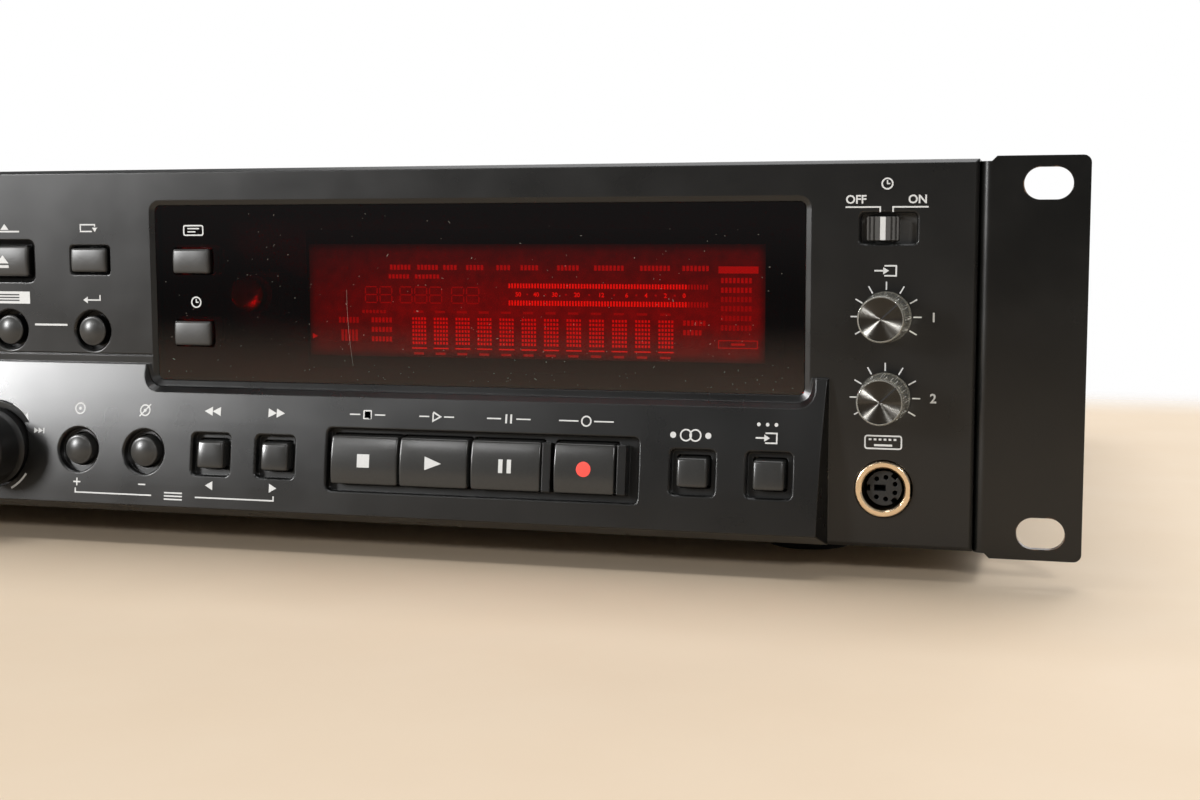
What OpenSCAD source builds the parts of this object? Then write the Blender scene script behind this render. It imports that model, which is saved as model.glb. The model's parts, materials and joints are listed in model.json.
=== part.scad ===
// Rack-mount disc recorder with a motor tray, in millimetres.
// The front looks towards -Y, +Z is up, and the origin is on the table under the middle of the box.
// Every module draws from the panel face (y = 0 there) and the middle of the rack flange (z = 0 there).

/* [Case] */
// Overall width over the rack ears
rack_w = 482.6; // [470:0.1:495]
// Overall height from the table to the top of the ears
unit_h = 94; // [92:0.1:98]
// Width of the case between the ears
case_w = 436; // [432:0.5:440]
// Depth from the panel face to the outside of the rear panel
case_d = 285; // [275:0.5:330]
// Top of the cover above the flange middle
case_top = 43.3; // [42.5:0.1:45]
// Underside of the case below the flange middle
case_bottom = 42.5; // [42:0.1:44]
// Thickness of the case sheets
sheet_t = 1; // [0.8:0.1:1.4]
// Gap between sheets that slip past each other
sheet_gap = 0.2; // [0.1:0.05:0.3]
// Height of the chassis side walls above the flange middle
wall_top = 34; // [25:1:38]
// Radius of a foot at the table
foot_r = 11; // [8:0.5:14]
// Distance of the feet from the case sides
foot_inset_x = 42; // [25:1:70]
// Distance of the feet from the panel face and the rear
foot_inset_y = 40; // [25:1:60]

/* [Rack ears] */
// Height of an ear
ear_h = 88.1; // [86:0.1:88.9]
// Thickness of the ear sheet
ear_t = 2; // [1.5:0.1:3]
// Depth of the ear leg along the case side
ear_leg = 66; // [50:1:90]
// Outside radius of the ear bend
ear_bend_r = 2.6; // [2.2:0.1:4]
// Rounding of the outer ear corners
ear_corner_r = 1.7; // [1:0.1:3]
// How much shorter the bent leg is at each end
ear_relief = 1.1; // [0.5:0.1:3]
// Distance between the left and right slot rows
slot_span_x = 465.1; // [464:0.1:466]
// Distance between the upper and lower slots
slot_span_z = 76.2; // [75:0.1:77]
// Overall length of a slot
slot_len = 10.3; // [9:0.1:12]
// Width of a slot
slot_w = 7; // [6.5:0.1:7.2]

/* [Front panel] */
// Thickness of the moulded panel
panel_t = 3; // [2.5:0.1:3.5]
// Top of the panel above the flange middle
panel_top = 43.5; // [43.4:0.1:44]
// Bottom of the panel below the flange middle
panel_bottom = 42.8; // [42.6:0.1:44]
// Bevel along the panel edge
panel_bevel = 0.8; // [0.4:0.1:1.2]
// Depth of the rim behind the panel
rim_d = 11; // [8:0.5:12]
// Wall of the rim behind the panel
rim_t = 2; // [1.5:0.1:2.5]
// Height of the strip's upper edge, below the flange middle
strip_top = 5; // [4:0.1:6]
// Height of the strip's lower edge, below the flange middle
strip_bottom = 40; // [39:0.1:41]
// How far the strip's upper edge stands out
strip_out_top = 1; // [0.8:0.1:1.5]
// How far the strip's lower edge stands out
strip_out_bottom = 6.7; // [6:0.1:7.5]
// Radius of the strip's rounded face
strip_r = 236; // [200:1:300]
// Half the length of the strip
strip_half = 186; // [184:0.5:188]
// Slope of the strip's end walls in degrees
strip_draft = 15; // [5:1:25]
// Wall of the strip
shell_t = 4; // [3.6:0.1:4.4]
// Height of the seam line left of the window, below the flange middle
seam_z = 2.75; // [2:0.05:3.5]
// Width and depth of that seam line
seam_w = 0.35; // [0.2:0.05:0.6]
// Edge bevel of the wells
well_bevel = 0.45; // [0.3:0.05:0.6]

/* [Display window] */
// Middle of the window, across and up
window_at = [98.65, 12.8]; // [-200:0.05:200]
// Width of the window
window_w = 163.4; // [160:0.1:165]
// Height of the window
window_h = 43.6; // [42:0.1:45]
// Corner radius of the window
window_r = 1.5; // [1:0.1:3]
// Bevel round the window
window_bevel = 1.25; // [0.8:0.05:1.6]
// Width of the bevel where the window notches the strip
notch_bevel = 1.6; // [0.8:0.1:2]
// How far the window lies behind the panel face
window_sink = 0.6; // [0.4:0.1:1]
// Rim of the window behind the panel
window_lip = 2; // [1.5:0.1:2.5]
// Thickness of the window's rim
window_lip_t = 1.4; // [1:0.1:1.8]
// Width of the display tube
tube_w = 118; // [110:1:122]
// Height of the display tube
tube_h = 34; // [30:1:38]
// Thickness of the display tube
tube_t = 5; // [4:0.5:6]
// Middle of the display tube, across and up
tube_at = [115, 11.5]; // [-200:0.1:200]
// Middle of the remote sensor, across and up
sensor_at = [42, 12.6]; // [-200:0.1:200]
// Radius of the remote sensor's filter
sensor_r = 4.75; // [4:0.05:5.5]

/* [Keys] */
// Travel of a key
key_travel = 0.6; // [0.4:0.05:0.8]
// Gap round a key in its hole
key_gap = 0.4; // [0.3:0.05:0.5]
// Gap between a key's flange and its stop
stop_gap = 0.3; // [0.2:0.05:0.4]
// Width of the flange that keeps a key in
flange_w = 1; // [0.8:0.1:1.2]
// Thickness of that flange
flange_t = 1.2; // [1:0.1:1.5]
// Radius of a key's stem
stem_r = 1.8; // [1.5:0.1:2.2]
// Middle of the tray key, across and up
open_at = [-26.1, 20.7]; // [-200:0.1:200]
// Size of the tray key, across and up
open_size = [14, 7.7]; // [5:0.1:20]
// Extra bevel round the tray key's well
open_bevel = 1.3; // [0.8:0.1:1.6]
// Middle of the repeat key, across and up
repeat_at = [-1.45, 21]; // [-200:0.05:200]
// Size of a flat key, across and up
flat_size = [10, 6]; // [5:0.1:12]
// How far the keys on the flat panel stand out
key_proud = 1.3; // [0.8:0.1:2]
// Middle of the menu button, across and up
menu_at = [-25.4, 3.1]; // [-200:0.1:200]
// Middle of the escape button, across and up
escape_at = [-1.3, 3.1]; // [-200:0.1:200]
// Radius of a round button
dome_r = 3.8; // [3.4:0.1:4]
// Ball radius of a round button's face
dome_ball_r = 6.5; // [5:0.1:9]
// Radius of a round well on the flat panel
dome_well_r = 4.95; // [4.8:0.05:5.2]
// Middle of the display key, across and up
display_at = [27.4, 20.8]; // [-200:0.1:200]
// Middle of the time key, across and up
time_at = [27.4, 2.9]; // [-200:0.1:200]

/* [Strip keys] */
// Height of the strip keys' row, below the flange middle
strip_row = 26.7; // [25:0.1:28]
// Radius of a round well on the strip
strip_dome_well_r = 5.55; // [5.3:0.05:5.8]
// Depth of the wells on the strip
strip_well_d = 2.2; // [1.8:0.1:2.4]
// Place of the finalize button
finalize_x = -3.4; // [-6:0.1:0]
// Place of the erase button
erase_x = 15.2; // [13:0.1:18]
// Place of the search back key
back_x = 33.9; // [32:0.1:36]
// Place of the search forward key
forward_x = 51.3; // [49:0.1:54]
// Place of the sync key
sync_x = 155.7; // [153:0.1:157]
// Place of the input select key
select_x = 173.3; // [170:0.1:176]
// Size of a small strip key, across and up
small_size = [7.2, 6.7]; // [6:0.1:8]
// Size of a small key's well
small_well = 10.3; // [10:0.1:10.8]
// How far the small strip keys stand out
small_proud = 0.7; // [0.3:0.1:1.2]
// Middle of the transport recess
deck_x = 104; // [103:0.1:106]
// Size of the transport recess, across and up
deck_size = [77.8, 15.1]; // [14:0.1:80]
// Depth of the transport recess
deck_d = 2.6; // [2:0.1:2.8]
// Places of the stop, play, pause and record keys
deck_keys_x = [75.1, 92.9, 111, 130.2]; // [60:0.1:145]
// Width of the stop, play and pause keys
deck_key_w = 17.2; // [16:0.1:17.4]
// Width of the record key
record_w = 14.6; // [13:0.1:14.8]
// Height of the transport keys
deck_key_h = 11.5; // [10:0.1:12.2]
// Radius of the transport keys' rounded face
deck_key_r = 26; // [18:1:40]
// How far the transport keys stand out
deck_proud = 0.9; // [0.4:0.1:1.4]
// Width of the guard rib at each side of the record key
rib_w = 2.1; // [1.6:0.1:2.3]

/* [Knobs] */
// Middle of the jog dial across
jog_x = -28; // [-30:0.1:-26]
// Radius of the jog dial's skirt
jog_r = 9.8; // [9:0.1:10.5]
// How far the jog dial reaches in front of the panel face
jog_reach = 15.5; // [13:0.1:18]
// Where the recess behind the jog dial lies in front of the panel face
jog_seat = 2.8; // [2:0.1:3.2]
// Middle of the right column
column_x = 198.4; // [197:0.1:200]
// Distance of each input knob from the flange middle
input_z = 9; // [8.5:0.1:10]
// Radius of a small knob at its base
knob_r = 5.7; // [5:0.1:5.8]
// Radius of a small knob at its face
knob_face_r = 5.1; // [4.6:0.1:5.6]
// How far a small knob reaches in front of the panel face
knob_reach = 11; // [8:0.1:13]
// Radius of the knob shafts
shaft_r = 3; // [2.5:0.1:3.1]
// Turn of the knobs' pointers from straight up, in degrees
pointer_turn = 47; // [0:1:90]
// Running gap of a shaft in its bush
shaft_gap = 0.05; // [0.02:0.01:0.09]
// Height of the headphone level knob, below the flange middle
phones_knob_z = 6; // [4:0.1:8]

/* [Switches and sockets] */
// Middle of the timer switch, across and up
timer_at = [198.65, 28.5]; // [-210:0.05:210]
// Size of the timer switch's well, across and up
timer_well = [12.3, 6.6]; // [5:0.1:14]
// Size of the timer slider, across and up
timer_size = [6.9, 5.2]; // [4:0.1:8]
// Travel of the timer slider
timer_travel = 2.4; // [2:0.1:2.8]
// Middle of the power button, up
power_z = 26; // [24:0.1:28]
// Size of the power button, across and up
power_size = [13, 9]; // [8:0.1:15]
// Travel of the power button
power_travel = 3; // [2:0.1:3.5]
// Height of the keyboard and headphone sockets, below the flange middle
socket_z = 29.5; // [28:0.1:30]
// Outside radius of the keyboard socket's ring
socket_r = 6.3; // [6:0.05:6.4]
// Inside radius of the keyboard socket's ring
socket_bore_r = 4.8; // [4.5:0.05:5]
// How far the socket ring stands out
socket_out = 1; // [0.5:0.1:1.5]
// Bore radius of the headphone jack
jack_bore_r = 3.25; // [3.2:0.01:3.3]
// Radius of the headphone jack's neck
jack_neck_r = 4.5; // [4.2:0.1:5]
// Radius of the headphone jack's nut
jack_nut_r = 6.5; // [6:0.1:7]

/* [Boards] */
// Depth from the panel face to the front board
board_y = 16; // [15.6:0.1:18]
// Thickness of the boards
board_t = 1.6; // [1:0.1:2]
// Height of a key switch on the front board, with its plunger
tact_h = 4.5; // [4:0.1:5]
// Side of a key switch
tact_w = 6; // [5:0.1:6.4]
// Standoff under the lower boards
standoff_h = 7; // [5:0.5:9]

/* [Disc drive] */
// Middle of the disc drive across
drive_x = -113; // [-115:0.1:-111]
// Size of the tray door, across and up
door_size = [132, 22]; // [20:0.1:134]
// Middle height of the tray door
door_z = 21; // [20:0.1:22]
// Thickness of the tray door
door_t = 4; // [3.5:0.1:5]
// Gap round the tray door
door_gap = 0.6; // [0.4:0.1:0.8]
// Width of the tray
tray_w = 124; // [123:0.1:125]
// Length of the tray behind the door
tray_len = 200; // [190:1:206]
// Thickness of the tray
tray_t = 8; // [7:0.1:9]
// Underside of the tray above the flange middle
tray_z = 13; // [12.6:0.1:13.2]
// Travel of the tray
tray_travel = 150; // [130:1:155]
// Radius of the disc well in the tray
disc_well_r = 60.5; // [60.2:0.1:61]
// Depth of the disc well
disc_well_d = 2.4; // [2:0.1:3]
// Depth from the panel face to the disc's middle
disc_y = 92; // [88:0.5:96]
// Width of the slot in the tray for the pickup
tray_slot_w = 44; // [40:0.5:48]
// Gap between the tray and its guides
guide_gap = 0.4; // [0.3:0.05:0.5]
// Wall of the loader frame
loader_t = 6; // [5:0.1:6.4]
// Number of teeth on the tray pinion
pinion_teeth = 18; // [17:1:22]
// Tooth size of the pinion and rack
tooth_m = 1; // [1:0.05:1.1]
// Radius of the turntable
table_r = 15; // [13:0.1:17]
// Travel of the pickup sled
sled_travel = 36; // [30:0.5:38]
// Spacing of the sled rods
rod_span = 40; // [38:0.1:42]
// Radius of the sled rods
rod_r = 1.5; // [1.2:0.1:1.8]
// Radius of the clamper's hub
clamp_r = 12.6; // [11:0.1:13]

/* [Rear] */
// Reach of the phono jacks behind the case
jack_reach = 8.5; // [7:0.1:10]
// Outside radius of a phono jack
phono_r = 4.15; // [4:0.05:4.3]
// Spacing of the phono jacks
phono_pitch = 18; // [15:0.5:20]
// Middle of the mains inlet, across and up
inlet_at = [-165, -12]; // [-200:0.5:200]
// Size of the inlet's mouth, across and up
inlet_size = [24, 16.4]; // [14:0.1:26]

/* [Hidden] */
$fn = 64;

arc_steps = 6;
cut = 1;
lap = 0.01;
case_half = case_w / 2;
wall_x = case_half - sheet_t - sheet_gap;
rim_x = wall_x - sheet_t - stop_gap;
floor_z = -case_bottom + sheet_t;
cover_z = case_top - sheet_t;
rear_reach = case_d + jack_reach;
face_y = -(rear_reach - jog_reach) / 2;
mid_z = unit_h - ear_h / 2;
tact_y = board_y - tact_h;
stem_gap = 0.2;
stem_end = tact_y - key_travel - stem_gap;

// Middle of the circle that the strip's face follows, worked out from its two edges
strip_dy = strip_out_bottom - strip_out_top;
strip_dz = strip_bottom - strip_top;
strip_chord = sqrt(strip_dy * strip_dy + strip_dz * strip_dz);
strip_arm = sqrt(strip_r * strip_r - strip_chord * strip_chord / 4);
strip_cy = -(strip_out_top + strip_out_bottom) / 2 + strip_arm * strip_dz / strip_chord;
strip_cz = -(strip_top + strip_bottom) / 2 - strip_arm * strip_dy / strip_chord;
strip_front = 14;
deck_row = strip_row + 0.05;
row_z = -strip_row;

function strip_y(z, r = strip_r) = strip_cy - sqrt(r * r - (z - strip_cz) * (z - strip_cz));
function strip_tilt(z) = asin((z - strip_cz) / strip_r);
function arc(cx, cy, r, from) =
    [for (i = [0:arc_steps]) let (a = from + 90 * i / arc_steps) [cx + r * cos(a), cy + r * sin(a)]];
function round_rect(w, h, r) = concat(
    arc(w / 2 - r, h / 2 - r, r, 0), arc(-w / 2 + r, h / 2 - r, r, 90),
    arc(-w / 2 + r, -h / 2 + r, r, 180), arc(w / 2 - r, -h / 2 + r, r, 270));

// Helpers for placing
module placed() translate([0, face_y, mid_z]) children();
module at(p) translate([p[0], 0, p[1]]) children();
module block(x0, x1, y0, y1, z0, z1) translate([x0, y0, z0]) cube([x1 - x0, y1 - y0, z1 - z0]);
module along_y(y0, y1) translate([0, y1, 0]) rotate([90, 0, 0]) linear_extrude(y1 - y0) children();
module along_x(x0, x1) translate([x0, 0, 0]) rotate([90, 0, 90]) linear_extrude(x1 - x0) children();
module rod_y(r, y0, y1) translate([0, y0, 0]) rotate([-90, 0, 0]) cylinder(r = r, h = y1 - y0);
module rod_z(r, z0, z1) translate([0, 0, z0]) cylinder(r = r, h = z1 - z0);
module tile(w, h, r, y0, y1) along_y(y0, y1) polygon(round_rect(w, h, r));
module on_strip(x, z) translate([x, strip_y(z), z]) rotate([-strip_tilt(z), 0, 0]) children();
// A cutter for a bevel that is grow wide at y = 0 and narrows to w by h at its depth
module flare(w, h, r, grow, depth) {
    wide = round_rect(w + 4 * grow, h + 4 * grow, r + 2 * grow);
    narrow = round_rect(w, h, r);
    n = len(wide);
    polyhedron(
        points = concat([for (p = wide) [p[0], -depth, p[1]]], [for (p = narrow) [p[0], depth, p[1]]]),
        faces = concat([[for (i = [n - 1:-1:0]) i]], [[for (i = [n:2 * n - 1]) i]],
                       [for (i = [0:n - 1]) [(i + 1) % n, n + (i + 1) % n, n + i, i]]));
}
module cone_y(r0, r1, y0, y1) translate([0, y0, 0]) rotate([-90, 0, 0]) cylinder(r1 = r0, r2 = r1, h = y1 - y0);

// Screws
screw_r = 1.5;
screw_head_r = 2.9;
screw_head_h = 1.8;
screw_ball_r = 4.4;
screw_hole_r = 1.6;
screw_len = 6;
ear_screw_len = 8;
recess_half = 1.6;
recess_t = 0.6;
recess_d = 0.9;
hole_reach = 10;
ear_screw_z = 24;
ear_screws_y = [16, 52];
side_screws_y = [150, case_d - 22];
side_screw_z = -28;
rear_tab = 9;
lip_h = 9;
rear_screws_x = [-170, 0, 170];
panel_screws_x = [-120, 0, 120];
panel_screw_y = 9;
board_posts = [[8, 37], [206.5, 38], [207, -37.5], [-34, -36.5], [-35, 35]];
post_r = 2.5;
rear_screw_y = case_d - sheet_t - rear_tab / 2;
foot_x = case_half - foot_inset_x;
foot_ys = [foot_inset_y, case_d - foot_inset_y];

// A pan head screw whose head sits on z = 0 and whose shank points down
module screw(len = screw_len) {
    difference() {
        intersection() {
            rod_z(screw_head_r, 0, screw_head_h);
            translate([0, 0, screw_head_h - screw_ball_r]) sphere(r = screw_ball_r);
        }
        for (a = [0, 90]) rotate([0, 0, a])
            block(-recess_half, recess_half, -recess_t / 2, recess_t / 2,
                  screw_head_h - recess_d, screw_head_h + cut);
    }
    rod_z(screw_r, -len, lap);
}
module foot_places() for (x = [-foot_x, foot_x], y = foot_ys) translate([x, y, -case_bottom]) children();
module ear_screw_places()
    for (s = [0, 1]) mirror([s, 0, 0]) for (y = ear_screws_y, z = [-ear_screw_z, ear_screw_z])
        translate([case_half, y, z]) rotate([0, 90, 0]) children();
module side_screw_places()
    for (s = [0, 1]) mirror([s, 0, 0]) for (y = side_screws_y)
        translate([case_half, y, side_screw_z]) rotate([0, 90, 0]) children();
module lip_screw_places() for (x = rear_screws_x)
    translate([x, case_d + sheet_t, case_top - lip_h / 2]) rotate([-90, 0, 0]) children();
module under_screw_places() {
    for (x = rear_screws_x) translate([x, rear_screw_y, -case_bottom]) rotate([180, 0, 0]) children();
    for (x = panel_screws_x) translate([x, panel_screw_y, -case_bottom]) rotate([180, 0, 0]) children();
}
module board_post_places() for (p = board_posts)
    translate([p[0], board_y + board_t, p[1]]) rotate([-90, 0, 0]) children();
module screw_hole() rod_z(screw_hole_r, -hole_reach, hole_reach);

module case_screws() color("dimgray") placed() {
    ear_screw_places() translate([0, 0, ear_t]) screw(ear_screw_len);
    side_screw_places() screw();
    lip_screw_places() screw();
    under_screw_places() screw();
    board_post_places() screw();
    foot_places() translate([0, 0, -foot_bore_z]) rotate([180, 0, 0]) screw(foot_bore_z + 4 * sheet_t);
}
foot_h = mid_z - case_bottom;
foot_bore_r = 4;
foot_bore_z = 3;
module feet() color("black") placed() foot_places() difference() {
    translate([0, 0, -foot_h]) cylinder(r1 = foot_r - 1, r2 = foot_r, h = foot_h);
    translate([0, 0, -foot_h - cut]) cylinder(r = foot_bore_r, h = foot_h - foot_bore_z + cut);
    screw_hole();
}

// Sheet metal case
standoff_r = 3;
board_back = 4;
main_len = 157;
supply_len = 65;
main_span = [-28, 205, case_d - board_back - main_len, case_d - board_back];
supply_span = [-205, -58, case_d - board_back - supply_len, case_d - board_back];
module standoffs(span) for (x = [span[0] + 2 * standoff_r, span[1] - 2 * standoff_r],
                            y = [span[2] + 2 * standoff_r, span[3] - 4 * standoff_r])
    translate([x, y, 0]) rod_z(standoff_r, floor_z - lap, floor_z + standoff_h);
module chassis_base() color("silver") placed() difference() {
    union() {
        block(-wall_x, wall_x, panel_t + stop_gap, case_d, -case_bottom, floor_z);
        for (s = [0, 1]) mirror([s, 0, 0])
            block(wall_x - sheet_t, wall_x, panel_t + stop_gap, case_d, -case_bottom, wall_top);
        standoffs(main_span);
        standoffs(supply_span);
    }
    ear_screw_places() screw_hole();
    side_screw_places() screw_hole();
    under_screw_places() screw_hole();
    foot_places() screw_hole();
}
vent_w = 3;
vent_len = 40;
vent_pitch = 12;
vent_count = 11;
vent_xs = [for (i = [0:vent_count - 1]) supply_span[0] + 5 * vent_w + i * vent_pitch];
vent_span = [supply_span[2] + 2 * vent_w, supply_span[2] + 2 * vent_w + vent_len];
module top_cover() color("dimgray") placed() difference() {
    block(-case_half, case_half, panel_t + stop_gap, case_d + sheet_t, floor_z, case_top);
    block(-case_half + sheet_t, case_half - sheet_t, 0, case_d, floor_z - cut, cover_z);
    block(-case_half - cut, case_half + cut, case_d, rear_reach, floor_z - cut, case_top - lip_h);
    ear_screw_places() screw_hole();
    side_screw_places() screw_hole();
    lip_screw_places() screw_hole();
    for (x = vent_xs) block(x - vent_w / 2, x + vent_w / 2, vent_span[0], vent_span[1], 0, case_top + cut);
}
phono_first = 62;
phono_xs = [for (i = [0:3]) phono_first + i * phono_pitch];
phono_zs = [-25, -9];
phono_pin_r = 1.7;
phono_edge = 8;
phono_body_d = 14;
optic_xs = [12, 32];
optic_w = 10;
optic_port = 6;
optic_out = 1.5;
optic_z = floor_z + standoff_h + board_t + optic_w / 2;
jack_gap = 0.4;
tab_half = 12;
module phono_places() for (x = phono_xs, z = phono_zs) at([x, z]) children();
module rear_panel() color("dimgray") placed() difference() {
    union() {
        block(-wall_x + sheet_t + sheet_gap, wall_x - sheet_t - sheet_gap, case_d - sheet_t, case_d,
              floor_z, cover_z - sheet_gap);
        for (x = rear_screws_x)
            block(x - tab_half, x + tab_half, case_d - sheet_t - rear_tab, case_d - sheet_t,
                  floor_z, floor_z + sheet_t);
    }
    lip_screw_places() screw_hole();
    under_screw_places() screw_hole();
    phono_places() rod_y(phono_r + jack_gap, case_d - 2 * sheet_t, case_d + cut);
    for (x = optic_xs) at([x, optic_z])
        tile(optic_w + 2 * jack_gap, optic_w + 2 * jack_gap, jack_gap, case_d - 2 * sheet_t, case_d + cut);
    at(inlet_at) tile(inlet_size[0] + 2 * inlet_hole, inlet_size[1] + 2 * inlet_hole, inlet_wall,
                      case_d - 2 * sheet_t, case_d + cut);
}

// Rack ears: an L of sheet with a rounded bend and two slots each
ear_x = rack_w / 2;
module ear_slots() for (z = [-slot_span_z / 2, slot_span_z / 2]) translate([slot_span_x / 2, 0, z]) {
    half = (slot_len - slot_w) / 2;
    for (x = [-half, half]) translate([x, 0, 0]) rod_y(slot_w / 2, -cut, ear_t + cut);
    block(-half, half, -cut, ear_t + cut, -slot_w / 2, slot_w / 2);
}
module ear_blank() {
    bend_x = case_half + ear_bend_r;
    leg_half = ear_h / 2 - ear_relief;
    flat_w = ear_x - bend_x;
    difference() {
        translate([ear_x - flat_w / 2, 0, 0]) along_y(0, ear_t) polygon(concat(
            arc(flat_w / 2 - ear_corner_r, ear_h / 2 - ear_corner_r, ear_corner_r, 0),
            [[-flat_w / 2 + ear_relief, ear_h / 2], [-flat_w / 2, leg_half],
             [-flat_w / 2, -leg_half], [-flat_w / 2 + ear_relief, -ear_h / 2]],
            arc(flat_w / 2 - ear_corner_r, -ear_h / 2 + ear_corner_r, ear_corner_r, 270)));
        ear_slots();
    }
    intersection() {
        translate([bend_x, ear_bend_r, 0]) difference() {
            rod_z(ear_bend_r, -leg_half, leg_half);
            rod_z(ear_bend_r - ear_t, -leg_half - cut, leg_half + cut);
        }
        block(case_half, bend_x, 0, ear_bend_r, -leg_half, leg_half);
    }
    block(case_half, case_half + ear_t, ear_bend_r, ear_leg, -leg_half, leg_half);
}
module ear_right() difference() {
    ear_blank();
    ear_screw_places() screw_hole();
}
module rack_ear_right() color("#161616") placed() ear_right();
module rack_ear_left() color("#161616") placed() mirror([1, 0, 0]) ear_right();

// Front panel
module strip_body() {
    reach = strip_front * tan(strip_draft);
    chin = (panel_bottom - strip_bottom) / strip_out_bottom;
    intersection() {
        along_x(-strip_half, strip_half) polygon([
            [panel_t, -strip_top], [-strip_front, -strip_top],
            [-strip_front, -panel_bottom + chin * strip_front],
            [0, -panel_bottom], [panel_t, -panel_bottom]]);
        translate([-strip_half, strip_cy, strip_cz]) rotate([0, 90, 0])
            cylinder(r = strip_r, h = 2 * strip_half, $fn = 256);
        translate([0, 0, -panel_bottom]) linear_extrude(panel_bottom) polygon([
            [-strip_half, panel_t], [-strip_half, 0], [-strip_half + reach, -strip_front],
            [strip_half - reach, -strip_front], [strip_half, 0], [strip_half, panel_t]]);
    }
}
module strip_hollow() intersection() {
    translate([-strip_half, strip_cy, strip_cz]) rotate([0, 90, 0])
        cylinder(r = strip_r - shell_t, h = 2 * strip_half, $fn = 256);
    block(-strip_half + shell_t, strip_half - shell_t, -strip_front, panel_t + cut,
          -strip_bottom + rim_t, -strip_top);
}
module panel_plate() intersection() {
    along_x(-case_half, case_half) polygon([
        [panel_bevel, -panel_bottom], [0, -panel_bottom + panel_bevel], [0, panel_top - panel_bevel],
        [panel_bevel, panel_top], [panel_t, panel_top], [panel_t, -panel_bottom]]);
    translate([0, 0, -panel_bottom]) linear_extrude(panel_bottom + panel_top) polygon([
        [-case_half, panel_bevel], [-case_half + panel_bevel, 0], [case_half - panel_bevel, 0],
        [case_half, panel_bevel], [case_half, panel_t], [-case_half, panel_t]]);
}
rim_top = cover_z - stop_gap;
rim_bottom = floor_z + stop_gap;
module panel_rim() difference() {
    block(-rim_x, rim_x, panel_t - lap, panel_t + rim_d, rim_bottom, rim_top);
    block(-rim_x + rim_t, rim_x - rim_t, 0, panel_t + rim_d + cut, rim_bottom + rim_t, rim_top - rim_t);
}
small_wells = [back_x, forward_x, sync_x, select_x];
dome_xs = [finalize_x, erase_x];
deck_z = -deck_row;
record_x = deck_keys_x[3];
rib_xs = [for (s = [-1, 1]) record_x + s * (record_w / 2 + key_gap + stop_gap + rib_w / 2)];
key_r = 0.6;
knob_hole_gap = 0.6;
encoder_hole_gap = 1.6;
jog_gap = 0.5;
small_well_r = 1.1;
deck_r = 1.2;
door_r = 0.8;
timer_r = 0.9;
power_r = 0.8;
module through_hole(size) tile(size[0] + 2 * key_gap, size[1] + 2 * key_gap, key_r, -strip_front, board_y);
// A well through the flat panel with a bevelled edge
module well(size, gap, r, bevel = well_bevel) {
    tile(size[0] + 2 * gap, size[1] + 2 * gap, r, -cut, panel_t + cut);
    flare(size[0] + 2 * gap, size[1] + 2 * gap, r, bevel, bevel);
}
notch_z = window_at[1] - window_h / 2 - window_bevel;
notch_h = 24;
module panel_wells() {
    at([drive_x, door_z]) well(door_size, door_gap, door_r);
    // Window opening, which also notches the strip
    at(window_at) {
        tile(window_w, window_h, window_r, -cut, panel_t + cut);
        flare(window_w, window_h, window_r, window_bevel, window_sink);
        tile(window_w + 2 * window_bevel, window_h + 2 * window_bevel, window_r + window_bevel,
             -strip_front, lap);
    }
    intersection() {
        on_strip(window_at[0], notch_z) at([0, notch_h / 2])
            flare(window_w + 2 * window_bevel, notch_h, window_r + window_bevel, notch_bevel, notch_bevel);
        block(-strip_half, strip_half, -strip_front, lap, -panel_bottom, lap - strip_top);
    }
    block(-strip_half, window_at[0] - window_w / 2 - window_bevel, -cut, seam_w, -seam_z - seam_w / 2,
          -seam_z + seam_w / 2);
    at(open_at) well(open_size, key_gap, key_r, open_bevel);
    at(repeat_at) well(flat_size, key_gap, key_r);
    for (p = [menu_at, escape_at]) at(p) {
        rod_y(dome_well_r, -cut, panel_t + cut);
        cone_y(dome_well_r + 2 * well_bevel, dome_well_r, -well_bevel, well_bevel);
    }
    for (x = dome_xs) {
        on_strip(x, row_z) {
            rod_y(strip_dome_well_r, -strip_front / 2, strip_well_d);
            cone_y(strip_dome_well_r + 2 * well_bevel, strip_dome_well_r, -well_bevel, well_bevel);
        }
        at([x, row_z]) rod_y(dome_r + key_gap, -strip_front, panel_t);
    }
    for (x = small_wells) {
        on_strip(x, row_z) {
            tile(small_well, small_well, small_well_r, -strip_front / 2, strip_well_d);
            flare(small_well, small_well, small_well_r, well_bevel, well_bevel);
        }
        at([x, row_z]) through_hole(small_size);
    }
    on_strip(deck_x, deck_z) {
        tile(deck_size[0], deck_size[1], deck_r, -strip_front / 2, deck_d);
        flare(deck_size[0], deck_size[1], deck_r, well_bevel, well_bevel);
    }
    for (i = [0:2]) at([deck_keys_x[i], deck_z]) through_hole([deck_key_w, deck_key_h]);
    at([record_x, deck_z]) through_hole([record_w, deck_key_h]);
    at([jog_x, row_z]) {
        rod_y(jog_r + jog_gap, -strip_front, -jog_seat);
        rod_y(shaft_r + encoder_hole_gap, -strip_front, panel_t);
    }
    // Right and left columns
    at(timer_at) well(timer_well, 0, timer_r);
    for (p = [[column_x, input_z], [column_x, -input_z], [-column_x, -phones_knob_z]])
        at(p) rod_y(shaft_r + knob_hole_gap, -cut, panel_t + cut);
    at([column_x, -socket_z]) rod_y(socket_r + sheet_gap, -cut, panel_t + cut);
    at([-column_x, -socket_z]) rod_y(jack_neck_r + stop_gap, -cut, panel_t + cut);
    at([-column_x, power_z]) well(power_size, key_gap, power_r);
}
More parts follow.
